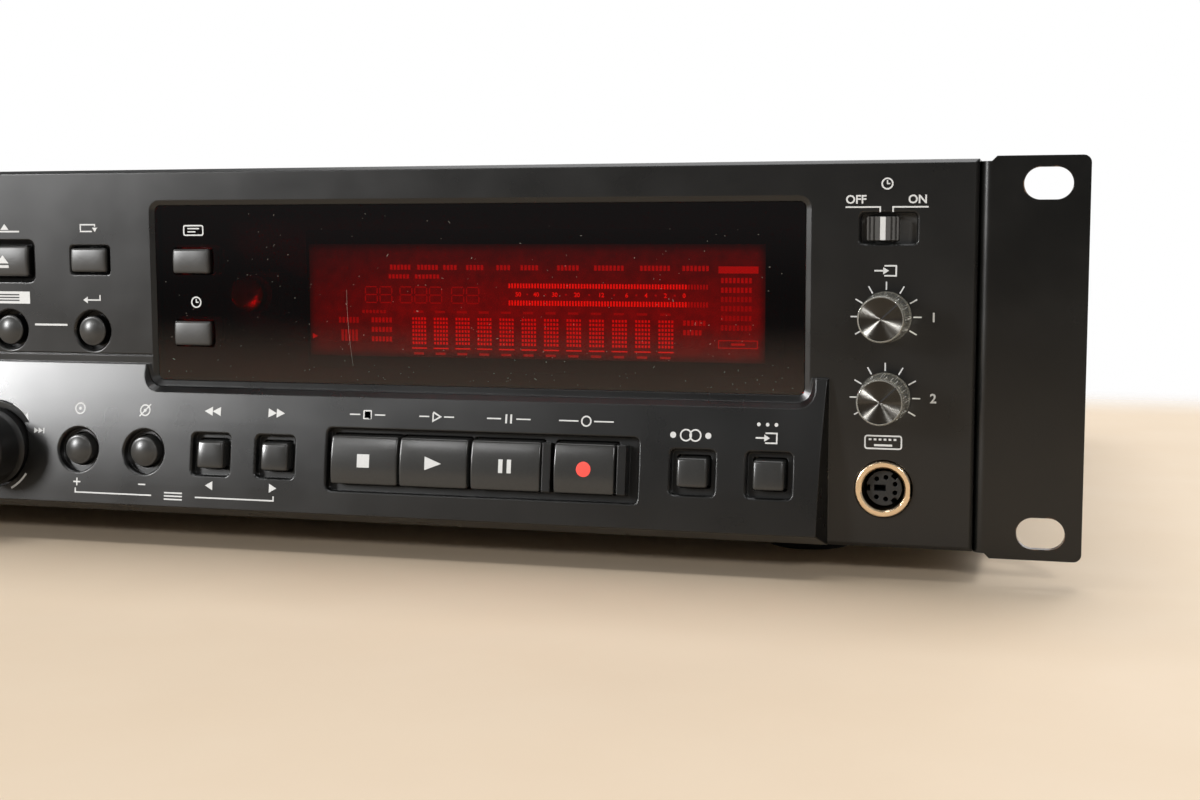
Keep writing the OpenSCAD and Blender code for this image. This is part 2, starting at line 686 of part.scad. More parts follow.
// Guard ribs beside the record key, from proud of the strip down into its wall
module guard_ribs(depth) for (x = rib_xs) on_strip(x, deck_z)
    block(-rib_w / 2, rib_w / 2, -deck_proud, depth, -deck_key_h / 2, deck_key_h / 2);
boss_r = 3.4;
boss_h = 9;
boss_bore = 7;
boss_ring = 2;
jog_boss_end = 0.6;
post_bore = 9;
module front_panel() color("#1c1c1b") placed() difference() {
    union() {
        difference() {
            union() {
                panel_plate();
                strip_body();
                panel_rim();
            }
            strip_hollow();
        }
        for (p = board_posts) at(p) {
            start = p[1] < -strip_top && p[0] < strip_half ? strip_y(p[1]) + 1 : panel_t - 1;
            rod_y(post_r, start, board_y);
        }
        for (x = panel_screws_x) translate([x, panel_screw_y, floor_z]) cylinder(r = boss_r, h = boss_h);
        at([jog_x, row_z]) rod_y(jog_r + boss_ring, strip_y(row_z) + 1, jog_boss_end);
        guard_ribs(deck_d + sheet_t / 2);
    }
    difference() {
        panel_wells();
        guard_ribs(deck_d + shell_t);
    }
    board_post_places() rod_z(screw_hole_r, -post_bore, cut);
    for (x = panel_screws_x) translate([x, panel_screw_y, floor_z - cut])
        cylinder(r = screw_hole_r, h = boss_bore);
}

// Display window with its two key holes
module display_window() color([0.12, 0.02, 0.02, 0.6]) placed() difference() {
    at(window_at) {
        tile(window_w - sheet_gap, window_h - sheet_gap, window_r, window_sink, panel_t + lap);
        tile(window_w + 2 * window_lip, window_h + 2 * window_lip, window_r, panel_t, panel_t + window_lip_t);
    }
    for (p = [display_at, time_at]) at(p) through_hole(flat_size);
}

// Front board and what it carries
key_places = [
    open_at, repeat_at, menu_at, escape_at, display_at, time_at, [finalize_x, row_z], [erase_x, row_z],
    [back_x, row_z], [forward_x, row_z], [deck_keys_x[0], deck_z], [deck_keys_x[1], deck_z],
    [deck_keys_x[2], deck_z], [deck_keys_x[3], deck_z], [sync_x, row_z], [select_x, row_z]];
front_span = [-38.5, 210, -38.5, 40];
module front_board() color("darkgreen") placed() difference() {
    block(front_span[0], front_span[1], board_y, board_y + board_t, front_span[2], front_span[3]);
    board_post_places() screw_hole();
}
plunger_h = 1;
module tact_switches() color("gray") placed() for (p = key_places) at(p) {
    tile(tact_w, tact_w, key_r, tact_y + plunger_h, board_y);
    rod_y(stem_r, tact_y, tact_y + plunger_h + lap);
}
pot_w = 10.5;
pot_y = 9;
pot_r = 0.6;
bush_t = 1.3;
bush_y = panel_t + 1.4;
encoder_w = 12;
encoder_y = 1.4;
shaft_bore_end = board_y - 2;
shaft_end = board_y - 3;
pot_plate = [pot_w + 4, pot_w + 8];
pot_post_r = 1.4;
// A turning control's body with a bush, bored for its shaft
module turning_body(w, front) difference() {
    union() {
        tile(w, w, pot_r, pot_y, board_y);
        rod_y(shaft_r + bush_t, front, pot_y + lap);
    }
    rod_y(shaft_r + shaft_gap, 0, shaft_bore_end);
}
module level_pots() color("gray") placed() {
    for (z = [-input_z, input_z]) at([column_x, z]) turning_body(pot_w, bush_y);
    at([-column_x, -phones_knob_z]) {
        turning_body(pot_w, bush_y);
        tile(pot_plate[0], pot_plate[1], pot_r, board_y, board_y + board_t);
        for (s = [-1, 1]) at([0, s * (pot_plate[1] / 2 - 2)]) rod_y(pot_post_r, panel_t, board_y);
    }
}
module jog_encoder() color("gray") placed() at([jog_x, row_z]) turning_body(encoder_w, encoder_y);
seat_gap = 0.05;
tube_r = 0.8;
tube_pads_x = [-51, 0, 51];
tube_pad = [8, 28];
tube_y = panel_t + window_lip_t + 2.2;
sensor_y = panel_t + window_lip_t + 1.5;
sensor_body = 10.5;
module display_tube() color("#301010") placed() at(tube_at) {
    tile(tube_w, tube_h, tube_r, tube_y, tube_y + tube_t);
    for (x = tube_pads_x) at([x, 0])
        tile(tube_pad[0], tube_pad[1], tube_r, tube_y + tube_t + seat_gap, board_y);
}
module remote_sensor() color("#500a0a") placed() at(sensor_at) {
    rod_y(sensor_r, sensor_y, pot_y + lap);
    tile(sensor_body, sensor_body, pot_r, pot_y, board_y);
}
pin_spots = [[-1.65, 2.05], [-1.65, -2.05], [0.42, 2.45], [0.42, -2.45], [2.45, 0.98], [2.45, -0.98]];
key_slot_x = [-2.2, 0.4];
key_slot_z = [-0.65, 0.75];
pin_r = 0.55;
notch_angles = [49, 180, 311];
notch_d = 0.9;
notch_w = 1.4;
socket_flat = 0.35;
socket_floor = 10.5;
socket_back = 12;
socket_body = 13;
pin_d = 7;
insert_r = socket_bore_r - 0.85;
insert_y = 1.2;
module socket_ring() difference() {
    intersection() {
        rod_y(socket_r, -socket_out, socket_back);
        block(-socket_r - cut, socket_r - socket_flat, -socket_out - cut, socket_back + cut,
              -2 * socket_r, 2 * socket_r);
    }
    rod_y(socket_bore_r, -socket_out - cut, socket_floor);
}
module keyboard_socket() color("silver") placed() at([column_x, -socket_z]) {
    socket_ring();
    difference() {
        rod_y(insert_r, insert_y, socket_floor - seat_gap);
        for (p = pin_spots) at(p) rod_y(pin_r, 0, pin_d);
        block(key_slot_x[0], key_slot_x[1], 0, pin_d, key_slot_z[0], key_slot_z[1]);
        for (a = notch_angles) rotate([0, a, 0])
            block(insert_r - notch_d, insert_r + cut, 0, pin_d, -notch_w / 2, notch_w / 2);
    }
    tile(socket_body, socket_body, pot_r, socket_back, board_y);
}
timer_rest = [timer_at[0] - timer_travel / 2, timer_at[1]];
timer_body = [22, 10];
timer_post = [2, 1.6];
timer_post_d = 3;
timer_proud = 0.2;
groove_xs = [-2.85, -1.9, 1.9, 2.85];
groove_w = 0.44;
groove_d = 0.5;
shutter_t = 0.8;
shutter_y = panel_t + stop_gap;
timer_body_y = shutter_y + shutter_t + key_gap;
module timer_switch() color("silver") placed() at(timer_at) difference() {
    tile(timer_body[0], timer_body[1], pot_r, timer_body_y, board_y);
    tile(timer_post[0] + timer_travel + 2 * key_gap, timer_post[1] + 2 * key_gap, pot_r / 2,
         0, timer_body_y + timer_post_d + cut);
}
module timer_slider() color("#3a3a38") placed() at(timer_rest) {
    difference() {
        tile(timer_size[0], timer_size[1], pot_r / 2, -timer_proud, shutter_y + lap);
        for (x = groove_xs) block(x - groove_w / 2, x + groove_w / 2, -cut, groove_d - timer_proud,
                                  -timer_size[1], timer_size[1]);
    }
    tile(timer_well[0] + timer_travel + 2 * flange_w, timer_well[1] + 2 * flange_w, pot_r,
         shutter_y, shutter_y + shutter_t);
    tile(timer_post[0], timer_post[1], pot_r / 2, shutter_y + shutter_t - lap, timer_body_y + timer_post_d);
}
power_body = [20, 15];
power_body_d = 20;
power_body_y = panel_t + stop_gap + flange_t + power_travel + stop_gap;
power_post = [5, 4];
power_post_d = 8;
power_bore_d = 12;
power_proud = 2.5;
power_lug_w = 2;
power_lug_x = power_body[0] / 2 - power_lug_w / 2;
module power_switch() color("#222222") placed() at([-column_x, power_z]) difference() {
    union() {
        tile(power_body[0], power_body[1], power_r, power_body_y, power_body_y + power_body_d);
        for (x = [-power_lug_x, power_lug_x])
            at([x, 0]) tile(power_lug_w, power_body[1], pot_r / 2, panel_t, power_body_y + lap);
    }
    tile(power_post[0] + 2 * key_gap, power_post[1] + 2 * key_gap, pot_r / 2, 0, power_body_y + power_bore_d);
}
module power_button() color("#202020") placed() at([-column_x, power_z]) {
    tile(power_size[0], power_size[1], power_r, -power_proud, panel_t + stop_gap + lap);
    tile(power_size[0] + 2 * flange_w, power_size[1] + 2 * flange_w, power_r,
         panel_t + stop_gap, panel_t + stop_gap + flange_t);
    tile(power_post[0], power_post[1], pot_r / 2, panel_t + stop_gap + flange_t - lap,
         power_body_y + power_post_d);
}
jack_nut_t = 2;
jack_out = 2.5;
jack_body = 15;
jack_end = 27;
jack_bore_end = 24;
thread_gap = 0.02;
module phones_jack() color("#151515") placed() at([-column_x, -socket_z]) difference() {
    union() {
        rod_y(jack_neck_r, -jack_out, panel_t + lap);
        tile(jack_body, jack_body, window_r, panel_t, jack_end);
    }
    rod_y(jack_bore_r, -jack_out - cut, jack_bore_end);
}
module phones_nut() color("silver") placed() at([-column_x, -socket_z]) difference() {
    rod_y(jack_nut_r, -jack_nut_t, 0);
    rod_y(jack_neck_r + thread_gap, -jack_nut_t - cut, cut);
}

// Boards behind the panel
board_z = floor_z + standoff_h;
module plain_board(span) block(span[0], span[1], span[2], span[3], board_z, board_z + board_t);
module main_board() color("darkgreen") placed() plain_board(main_span);
module supply_board() color("tan") placed() plain_board(supply_span);
board_top = board_z + board_t;
transformer_x = -150;
transformer_back = 24;
transformer_at = [transformer_x, supply_span[2] + transformer_back];
core = [46, 36];
coil = [36, 28];
core_zs = [0, 8, 30, 34];
filter_xs = [-112, -92, -72];
filter_back = 18;
filter_y = supply_span[2] + filter_back;
filter_r = 8;
filter_h = 30;
chip_xs = [20, 70, 120];
chip_back = 36;
chip_y = main_span[2] + chip_back;
chip = [24, 24, 2.4];
can_xs = [160, 174, 188];
can_back = 106;
can_y = main_span[2] + can_back;
can_r = 5;
can_h = 12;
plug_h = 6;
front_plug_xs = [60, 100];
front_plug_back = [4, 12];
drive_plug_xs = [-20, -12];
drive_plug_back = [46, 78];
function plug_span(xs, back) = concat(xs, [for (b = back) main_span[2] + b]);
front_plug = plug_span(front_plug_xs, front_plug_back);
drive_plug = plug_span(drive_plug_xs, drive_plug_back);
module centred(size, z0, z1) block(-size[0] / 2, size[0] / 2, -size[1] / 2, size[1] / 2, z0, z1);
module on_board(span, h) block(span[0], span[1], span[2], span[3], board_top, board_top + h);
module board_parts() color("#222222") placed() {
    translate([transformer_at[0], transformer_at[1], board_top]) {
        centred(core, core_zs[0], core_zs[1]);
        centred(coil, core_zs[1], core_zs[2]);
        centred(core, core_zs[2], core_zs[3]);
    }
    for (x = filter_xs) translate([x, filter_y, board_top]) cylinder(r = filter_r, h = filter_h);
    for (x = chip_xs) translate([x, chip_y, board_top]) cube(chip);
    for (x = can_xs) translate([x, can_y, board_top]) cylinder(r = can_r, h = can_h);
    on_board(front_plug, plug_h);
    on_board(drive_plug, plug_h);
}
module rear_jacks() color("#d8b24a") placed() {
    block(phono_xs[0] - phono_edge, phono_xs[3] + phono_edge, case_d - sheet_t - phono_body_d, case_d - sheet_t,
          board_top, phono_zs[1] + phono_edge);
    phono_places() difference() {
        rod_y(phono_r, case_d - sheet_t + seat_gap, rear_reach);
        rod_y(phono_pin_r, case_d + sheet_t, rear_reach + cut);
    }
    for (x = optic_xs) difference() {
        block(x - optic_w / 2, x + optic_w / 2, case_d - sheet_t - phono_body_d, case_d + optic_out,
              board_top, optic_z + optic_w / 2);
        at([x, optic_z])
            tile(optic_port, optic_port, jack_gap, case_d + optic_out - sheet_t, case_d + optic_out + cut);
    }
}
inlet_depth = 16;
inlet_wall = 2;
inlet_flange = 4;
inlet_flange_t = 2.2;
inlet_floor = 3;
inlet_hole = inlet_wall + sheet_gap;
inlet_r = 1.5;
pin_places = [[-7, -2], [7, -2], [0, 3]];
pin_size = [2, 12, 4];
module mains_inlet() color("#101010") placed() at(inlet_at) {
    difference() {
        union() {
            tile(inlet_size[0] + 2 * inlet_flange, inlet_size[1] + 2 * inlet_flange, inlet_wall,
                 case_d, case_d + inlet_flange_t);
            tile(inlet_size[0] + 2 * inlet_wall, inlet_size[1] + 2 * inlet_wall, inlet_r,
                 case_d - inlet_depth - inlet_floor, case_d + lap);
        }
        tile(inlet_size[0], inlet_size[1], inlet_r, case_d - inlet_depth, rear_reach);
    }
    for (p = pin_places) at(p) translate([-pin_size[0] / 2, case_d - inlet_depth - lap, -pin_size[2] / 2])
        cube(pin_size);
}
ribbon_t = 0.4;
ribbon_z = -25;
ribbon_in = 4;
ribbon_out = 10;
ribbon_rise = 2;
ribbon_lift = 3;
front_bite = 1;
drive_ribbon_zs = [-4, -6];
drive_ribbon_out = 14;
drive_bite = 2;
plug_top = board_top + plug_h;
// A flat cable through the points, as thick as ribbon_t up and to the right
module ribbon(pts) polygon(concat(pts, [for (i = [len(pts) - 1:-1:0]) pts[i] + [ribbon_t, ribbon_t]]));
module ribbon_cables() color("white") placed() {
    along_x(front_plug[0] + ribbon_in, front_plug[1] - ribbon_in) ribbon([
        [board_y + board_t, ribbon_z], [board_y + ribbon_out, ribbon_z + ribbon_rise],
        [front_plug[2] - ribbon_out, plug_top + ribbon_lift], [front_plug[2] + front_bite, plug_top]]);
    along_y(drive_plug[2] + ribbon_in, drive_plug[3] - ribbon_in) ribbon([
        [drive_x + loader_x + loader_t, drive_ribbon_zs[0]],
        [drive_plug[0] - drive_ribbon_out, drive_ribbon_zs[1]],
        [drive_plug[0] - ribbon_in, plug_top + ribbon_lift], [drive_plug[1] - drive_bite, plug_top]]);
}

// Keys: a cap, a flange behind the panel and a stem that reaches to its switch
module key_back(size, flange_y) {
    tile(size[0] + 2 * flange_w, size[1] + 2 * flange_w, key_r, flange_y, flange_y + flange_t);
    rod_y(stem_r, flange_y + flange_t - lap, stem_end);
}
flat_key_r = 16;
module flat_key(p, size, flange_y) at(p) {
    intersection() {
        tile(size[0], size[1], key_r, -key_proud, flange_y + lap);
        translate([-size[0], flat_key_r - key_proud, 0]) rotate([0, 90, 0])
            cylinder(r = flat_key_r, h = 2 * size[0], $fn = 128);
    }
    key_back(size, flange_y);
}
module dome_button(p, front, flange_y) at(p) {
    intersection() {
        rod_y(dome_r, front, flange_y + lap);
        translate([0, front + dome_ball_r, 0]) sphere(r = dome_ball_r, $fn = 96);
    }
    rod_y(strip_dome_well_r, flange_y, flange_y + flange_t);
    rod_y(stem_r, flange_y + flange_t - lap, stem_end);
}
panel_stop = panel_t + stop_gap;
window_stop = panel_t + window_lip_t + stop_gap;
function shell_back(z) = strip_y(z, strip_r - shell_t) + stop_gap;
dome_stop = shell_back(row_z + strip_dome_well_r);
small_stop = shell_back(row_z + small_size[1] / 2 + flange_w);
deck_stop = shell_back(deck_z + deck_key_h / 2 + flange_w);
module strip_key(x) at([x, row_z]) {
    intersection() {
        tile(small_size[0], small_size[1], key_r, -strip_front, small_stop + lap);
        translate([-small_well, strip_cy, strip_cz - row_z]) rotate([0, 90, 0])
            cylinder(r = strip_r + small_proud, h = 2 * small_well, $fn = 256);
    }
    key_back(small_size, small_stop);
}
module deck_key(x, w) at([x, deck_z]) {
    intersection() {
        tile(w, deck_key_h, key_r, -strip_front, deck_stop + lap);
        translate([-w, strip_y(deck_z), 0]) rotate([-strip_tilt(deck_z), 0, 0])
            translate([0, deck_key_r - deck_proud, 0]) rotate([0, 90, 0])
                cylinder(r = deck_key_r, h = 2 * w, $fn = 128);
    }
    key_back([w - 2 * flange_w, deck_key_h], deck_stop);
}
module open_close_key() color("#262626") placed() flat_key(open_at, open_size, panel_stop);
module repeat_key() color("#262626") placed() flat_key(repeat_at, flat_size, panel_stop);
module display_key() color("#262626") placed() flat_key(display_at, flat_size, window_stop);
module time_key() color("#262626") placed() flat_key(time_at, flat_size, window_stop);
module menu_button() color("#262626") placed() dome_button(menu_at, -key_proud, panel_stop);
module escape_button() color("#262626") placed() dome_button(escape_at, -key_proud, panel_stop);
dome_out = 0.8;
dome_front = strip_y(row_z) - dome_out;
module finalize_button() color("#262626") placed() dome_button([finalize_x, row_z], dome_front, dome_stop);
module erase_button() color("#262626") placed() dome_button([erase_x, row_z], dome_front, dome_stop);
module search_back_key() color("#262626") placed() strip_key(back_x);
module search_forward_key() color("#262626") placed() strip_key(forward_x);
module sync_key() color("#262626") placed() strip_key(sync_x);
module input_select_key() color("#262626") placed() strip_key(select_x);
module stop_key() color("#2a2a2a") placed() deck_key(deck_keys_x[0], deck_key_w);
module play_key() color("#2a2a2a") placed() deck_key(deck_keys_x[1], deck_key_w);
module pause_key() color("#2a2a2a") placed() deck_key(deck_keys_x[2], deck_key_w);
module record_key() color("#2a2a2a") placed() deck_key(record_x, record_w);

// Knobs, each with its shaft
knob_lift = 0.6;
knob_cap_t = 2;
pointer_w = 0.6;
press_gap = 0.01;
shaft_top_gap = 0.2;
module knob(p) at(p) {
    difference() {
        cone_y(knob_face_r, knob_r, -knob_reach, -knob_lift);
        rod_y(shaft_r + press_gap, -knob_reach + knob_cap_t, 0);
        rotate([0, pointer_turn, 0]) block(-pointer_w / 2, pointer_w / 2, -knob_reach - cut,
                                           -knob_reach + pointer_w / 2, knob_face_r / 3, knob_r);
    }
    rod_y(shaft_r, -knob_reach + knob_cap_t + shaft_top_gap, shaft_end);
}
module input_knob_left() color("#303030") placed() knob([column_x, input_z]);
module input_knob_right() color("#303030") placed() knob([column_x, -input_z]);
module phones_knob() color("#303030") placed() knob([-column_x, -phones_knob_z]);
jog_base = jog_seat + stop_gap;
jog_skirt_h = 3.4;
jog_step_h = 4.3;
jog_cap_r = jog_r - 0.9;
jog_cap_t = 3;
jog_edge = 1.2;
module jog_dial() color("#151515") placed() at([jog_x, row_z]) {
    difference() {
        rotate([90, 0, 0]) rotate_extrude($fn = 96) polygon(concat(
            [[0, jog_base], [jog_r, jog_base], [jog_r, jog_base + jog_skirt_h],
             [jog_cap_r, jog_base + jog_step_h]],
            arc(jog_cap_r - jog_edge, jog_reach - jog_edge, jog_edge, 0), [[0, jog_reach]]));
        rod_y(shaft_r + press_gap, -jog_reach + jog_cap_t, 0);
    }
    rod_y(shaft_r, -jog_reach + jog_cap_t + shaft_top_gap, shaft_end);
}

// Disc drive
tray_half = tray_w / 2;
tongue = 2.6;
tongue_z = tray_z + 3;
tongue_h = 2.2;
tray_y0 = door_t;
tray_y1 = door_t + tray_len;
small_well_d = 1.2;
small_disc_r = 40.5;
slot_reach = 26;
slot_front = disc_y - slot_reach;
loader_x = tray_half + guide_gap;
loader_front_gap = 3;
loader_back_gap = 6;
loader_y0 = panel_t + loader_front_gap;
loader_y1 = tray_y1 + loader_back_gap;
loader_floor = -8;
loader_floor_t = 3;
bridge_gap = 4.6;
loader_top = tray_z + tray_t + bridge_gap;
leg_r = 5;
leg_inset = 6;
legs_from_ends = [44, 20];
legs_y = [loader_y0 + legs_from_ends[0], loader_y1 - legs_from_ends[1]];
motor_r = 9;
motor_h = 18;
motor_bore = 12;
pinion_shaft_r = 2;
pinion_hole_r = 3.4;
bridge_z = loader_top;
bridge_half = 24;
bridge_y = [disc_y - bridge_half, disc_y + bridge_half];
clamp_gap = 0.7;
clamp_flange = 2.6;
clamp_flange_t = 2;
pinion_r = tooth_m * pinion_teeth / 2;
rack_line = 52;
rack_back = 3;
pinion_x = rack_line - pinion_r;
pinion_y = 32;
rack_h = 3.2;
rack_z = [tray_z - rack_h, tray_z];
rack_spare = 20;
rack_teeth = ceil((tray_travel + rack_spare) / (PI * tooth_m));
rack_start = pinion_y - 3 * PI * tooth_m;
backlash = 0.16;
pressure = 20;
tooth_tip = 0.9 * tooth_m;
tooth_root = 1.3 * tooth_m;
module rack_2d() for (i = [0:rack_teeth - 1]) {
    y = rack_start + i * PI * tooth_m;
    half = PI * tooth_m / 4 - backlash / 2;
    wide = half + tooth_root * tan(pressure);
    slim = half - tooth_tip * tan(pressure);
    polygon([[rack_line + tooth_root, y - wide], [rack_line - tooth_tip, y - slim],
             [rack_line - tooth_tip, y + slim], [rack_line + tooth_root, y + wide]]);
}
// One flank of an involute tooth, from its root to its tip, as angles off the tooth's middle
function involute(a) = tan(a) * 180 / PI - a;
flank_steps = 5;
base_r = pinion_r * cos(pressure);
tip_r = pinion_r + tooth_tip;
root_r = pinion_r - tooth_root;
flank_r = max(root_r, base_r);
half_tooth = (90 / pinion_teeth) - backlash / 2 / pinion_r * 180 / PI;
function flank_angle(r) = half_tooth + involute(pressure) - involute(acos(min(1, base_r / r)));
function tooth_points(side) = [for (i = [0:flank_steps])
    let (k = side > 0 ? i : flank_steps - i, r = flank_r + (tip_r - flank_r) * k / flank_steps)
    [r, -side * flank_angle(r)]];
module pinion_2d() {
    polygon([for (t = [0:pinion_teeth - 1]) let (mid = (t + 0.5) * 360 / pinion_teeth)
        each [for (q = concat([[root_r, -flank_angle(base_r)]], tooth_points(1), tooth_points(-1),
                              [[root_r, flank_angle(base_r)]]))
            [q[0] * cos(mid + q[1]), q[0] * sin(mid + q[1])]]]);
}
module in_drive() translate([drive_x, 0, 0]) children();
door_out = 0.5;
module tray_door() color("#1c1c1b") placed() at([drive_x, door_z])
    tile(door_size[0], door_size[1], door_r, -door_out, door_t);
module disc_tray() color("#202020") placed() in_drive() {
    difference() {
        union() {
            block(-tray_half, tray_half, tray_y0, tray_y1, tray_z, tray_z + tray_t);
            block(-tray_half - tongue, tray_half + tongue, tray_y0 + loader_t, tray_y1,
                  tongue_z, tongue_z + tongue_h);
        }
        translate([0, disc_y, tray_z + tray_t - disc_well_d]) cylinder(r = disc_well_r, h = tray_t, $fn = 128);
        translate([0, disc_y, tray_z + tray_t - disc_well_d - small_well_d])
            cylinder(r = small_disc_r, h = tray_t, $fn = 96);
        block(-tray_slot_w / 2, tray_slot_w / 2, slot_front, tray_y1 + cut,
              tray_z - cut, tray_z + tray_t + cut);
    }
    translate([0, 0, rack_z[0]]) linear_extrude(rack_z[1] - rack_z[0] + lap) {
        rack_2d();
        translate([rack_line + tooth_root - lap, rack_start - rack_back])
            square([rack_back, rack_teeth * PI * tooth_m + rack_back]);
    }
}
module loader_frame() color("#2b2b2b") placed() in_drive() difference() {
    union() {
        for (s = [0, 1]) mirror([s, 0, 0]) difference() {
            block(loader_x, loader_x + loader_t, loader_y0, loader_y1, loader_floor, loader_top);
            block(loader_x - cut, loader_x + tongue, loader_y0 - cut, loader_y1 - 2,
                  tongue_z - guide_gap, tongue_z + tongue_h + guide_gap);
        }
        block(-loader_x - cut, loader_x + cut, loader_y0, loader_y1,
              loader_floor, loader_floor + loader_floor_t);
        // Legs down to the chassis
        for (x = [-loader_x + leg_inset, loader_x - leg_inset], y = legs_y)
            translate([x, y, 0]) rod_z(leg_r, floor_z, loader_floor + lap);
        // Pillars of the traverse pivot
        for (s = [0, 1]) mirror([s, 0, 0]) difference() {
            block(pivot_x, pivot_x + pillar_w, pivot_y - pillar_w, pivot_y + pillar_w,
                  loader_floor, pivot_z + pillar_w);
            translate([0, pivot_y, pivot_z]) rotate([0, 90, 0]) cylinder(r = pivot_r + shaft_gap, h = loader_x);
        }
    }
    translate([pinion_x, pinion_y, 0]) rod_z(pinion_hole_r, loader_floor - cut, 0);
    block(-traverse_half - traverse_gap, traverse_half + traverse_gap, traverse_front - traverse_gap,
          pivot_y - 2 * pillar_w, loader_floor - cut, 0);
}
module clamp_bridge() color("silver") placed() in_drive() difference() {
    block(-loader_x - loader_t, loader_x + loader_t, bridge_y[0], bridge_y[1], bridge_z, bridge_z + sheet_t);
    translate([0, disc_y, bridge_z - cut]) cylinder(r = clamp_r + guide_gap, h = sheet_t + 2 * cut);
}
module clamper() color("#e6e6e6") placed() in_drive() translate([0, disc_y, 0]) {
    rest = bridge_z + sheet_t + stop_gap;
    rod_z(clamp_r, tray_z + tray_t + clamp_gap, rest + lap);
    rod_z(clamp_r + clamp_flange, rest, rest + clamp_flange_t);
}
module loading_motor() color("silver") placed() in_drive() translate([pinion_x, pinion_y, 0]) difference() {
    rod_z(motor_r, loader_floor - motor_h, loader_floor);
    rod_z(pinion_shaft_r + shaft_gap, loader_floor - motor_bore, loader_floor + cut);
}
module tray_pinion() color("#e6e6e6") placed() in_drive() translate([pinion_x, pinion_y, 0]) {
    translate([0, 0, rack_z[0] + stop_gap]) linear_extrude(rack_z[1] - rack_z[0] - 2 * stop_gap) pinion_2d();
    rod_z(pinion_shaft_r, loader_floor - motor_bore + cut, rack_z[0] + stop_gap + lap);
}
// The traverse hangs on a rear pivot and carries the turntable and the pickup
traverse_half = 30;
traverse_gap = 4;
traverse_reach = 30;
pivot_back = 100;
pivot_room = 4;
traverse_front = disc_y - traverse_reach;
pillar_w = 5;
pivot_r = 2;
pivot_y = disc_y + pivot_back;
pivot_z = 6;
pivot_x = traverse_half + pivot_room;
pivot_end = 4.6;
deck_plate_z = [5, 7];
rod_line = 2;
rod_cheek = 3;
rod_wall = 2;
spindle_hole_r = 6;
spindle_r = 1.5;
spindle_motor_r = 13;
spindle_motor_h = 8;
spindle_bore = 6;
sled_gap = 5;
rod_start = 20;
rod_room = 14;
sled_start = 26;
lens_back = 8;
sled_y = disc_y + sled_start;
sled_len = 24;
sled_cheek = 4;
sled_half_h = 3;
lens_y = sled_y + lens_back;
lens_body_r = 5;
lens_r = 2.5;
lens_top = tray_z + 3;
lens_body_top = tray_z + 2;
table_t = 2;
hub_r = [7.4, 6.6];
disc_lift = 0.4;
rod_ends = [disc_y + rod_start, disc_y + rod_start + sled_len + sled_travel + rod_room];
module rod_lines() for (s = [-1, 1]) translate([s * rod_span / 2, 0, rod_line]) children();
module traverse_frame() color("#3a3a3a") placed() in_drive() difference() {
    union() {
        block(-traverse_half, traverse_half, traverse_front, pivot_y, deck_plate_z[0], deck_plate_z[1]);
        for (y = rod_ends)
            block(-rod_span / 2 - rod_cheek, rod_span / 2 + rod_cheek, y - rod_wall, y + rod_wall,
                  rod_line - rod_cheek, deck_plate_z[0] + lap);
        translate([-pivot_x - pivot_end, pivot_y, pivot_z]) rotate([0, 90, 0])
            cylinder(r = pivot_r, h = 2 * (pivot_x + pivot_end));
    }
    translate([0, disc_y, 0]) rod_z(spindle_hole_r, 0, deck_plate_z[1] + cut);
    block(-rod_span / 2 - sled_gap, rod_span / 2 + sled_gap, rod_ends[0] + rod_wall, rod_ends[1] - rod_wall,
          rod_line - sled_gap, deck_plate_z[1] + cut);
    rod_lines() rod_y(rod_r + press_gap, rod_ends[0] - sled_gap, rod_ends[1] + sled_gap);
}
module sled_rods() color("silver") placed() in_drive()
    rod_lines() rod_y(rod_r, rod_ends[0] - rod_wall, rod_ends[1] + rod_wall);
module pickup_sled() color("#777777") placed() in_drive() difference() {
    union() {
        block(-rod_span / 2 - sled_cheek, rod_span / 2 + sled_cheek, sled_y, sled_y + sled_len,
              rod_line - sled_half_h, rod_line + sled_half_h);
        translate([0, lens_y, 0]) rod_z(lens_body_r, rod_line + sled_half_h - lap, lens_body_top);
        translate([0, lens_y, 0]) rod_z(lens_r, lens_body_top - lap, lens_top);
    }
    rod_lines() rod_y(rod_r + shaft_gap, sled_y - cut, sled_y + sled_len + cut);
}
disc_z = tray_z + tray_t - disc_well_d + disc_lift;
module spindle_motor() color("silver") placed() in_drive()
    translate([0, disc_y, deck_plate_z[0]]) difference() {
        rod_z(spindle_motor_r, -spindle_motor_h, 0);
        rod_z(spindle_r + shaft_gap, -spindle_bore, cut);
    }
module turntable() color("#d0d0d0") placed() in_drive() translate([0, disc_y, 0]) {
    rod_z(spindle_r, deck_plate_z[0] - spindle_bore + cut, disc_z - table_t + lap);
    rod_z(table_r, disc_z - table_t, disc_z);
    translate([0, 0, disc_z - lap]) cylinder(r1 = hub_r[0], r2 = hub_r[1], h = tray_z + tray_t - disc_z);
}

chassis_base();
top_cover();
rear_panel();
front_panel();
display_window();
rack_ear_left();
rack_ear_right();
case_screws();
feet();
front_board();
tact_switches();
level_pots();
jog_encoder();
display_tube();
remote_sensor();
keyboard_socket();
timer_switch();
power_switch();
phones_jack();
phones_nut();
main_board();
supply_board();
board_parts();
rear_jacks();
mains_inlet();
ribbon_cables();
loader_frame();
clamp_bridge();
loading_motor();
disc_tray();
tray_door();
tray_pinion();
traverse_frame();
sled_rods();
spindle_motor();
turntable();
pickup_sled();
clamper();
open_close_key();
repeat_key();
menu_button();
escape_button();
display_key();
time_key();
finalize_button();
erase_button();
search_back_key();
search_forward_key();
stop_key();
play_key();
pause_key();
record_key();
sync_key();
input_select_key();
jog_dial();
timer_slider();
input_knob_left();
input_knob_right();
power_button();
phones_knob();
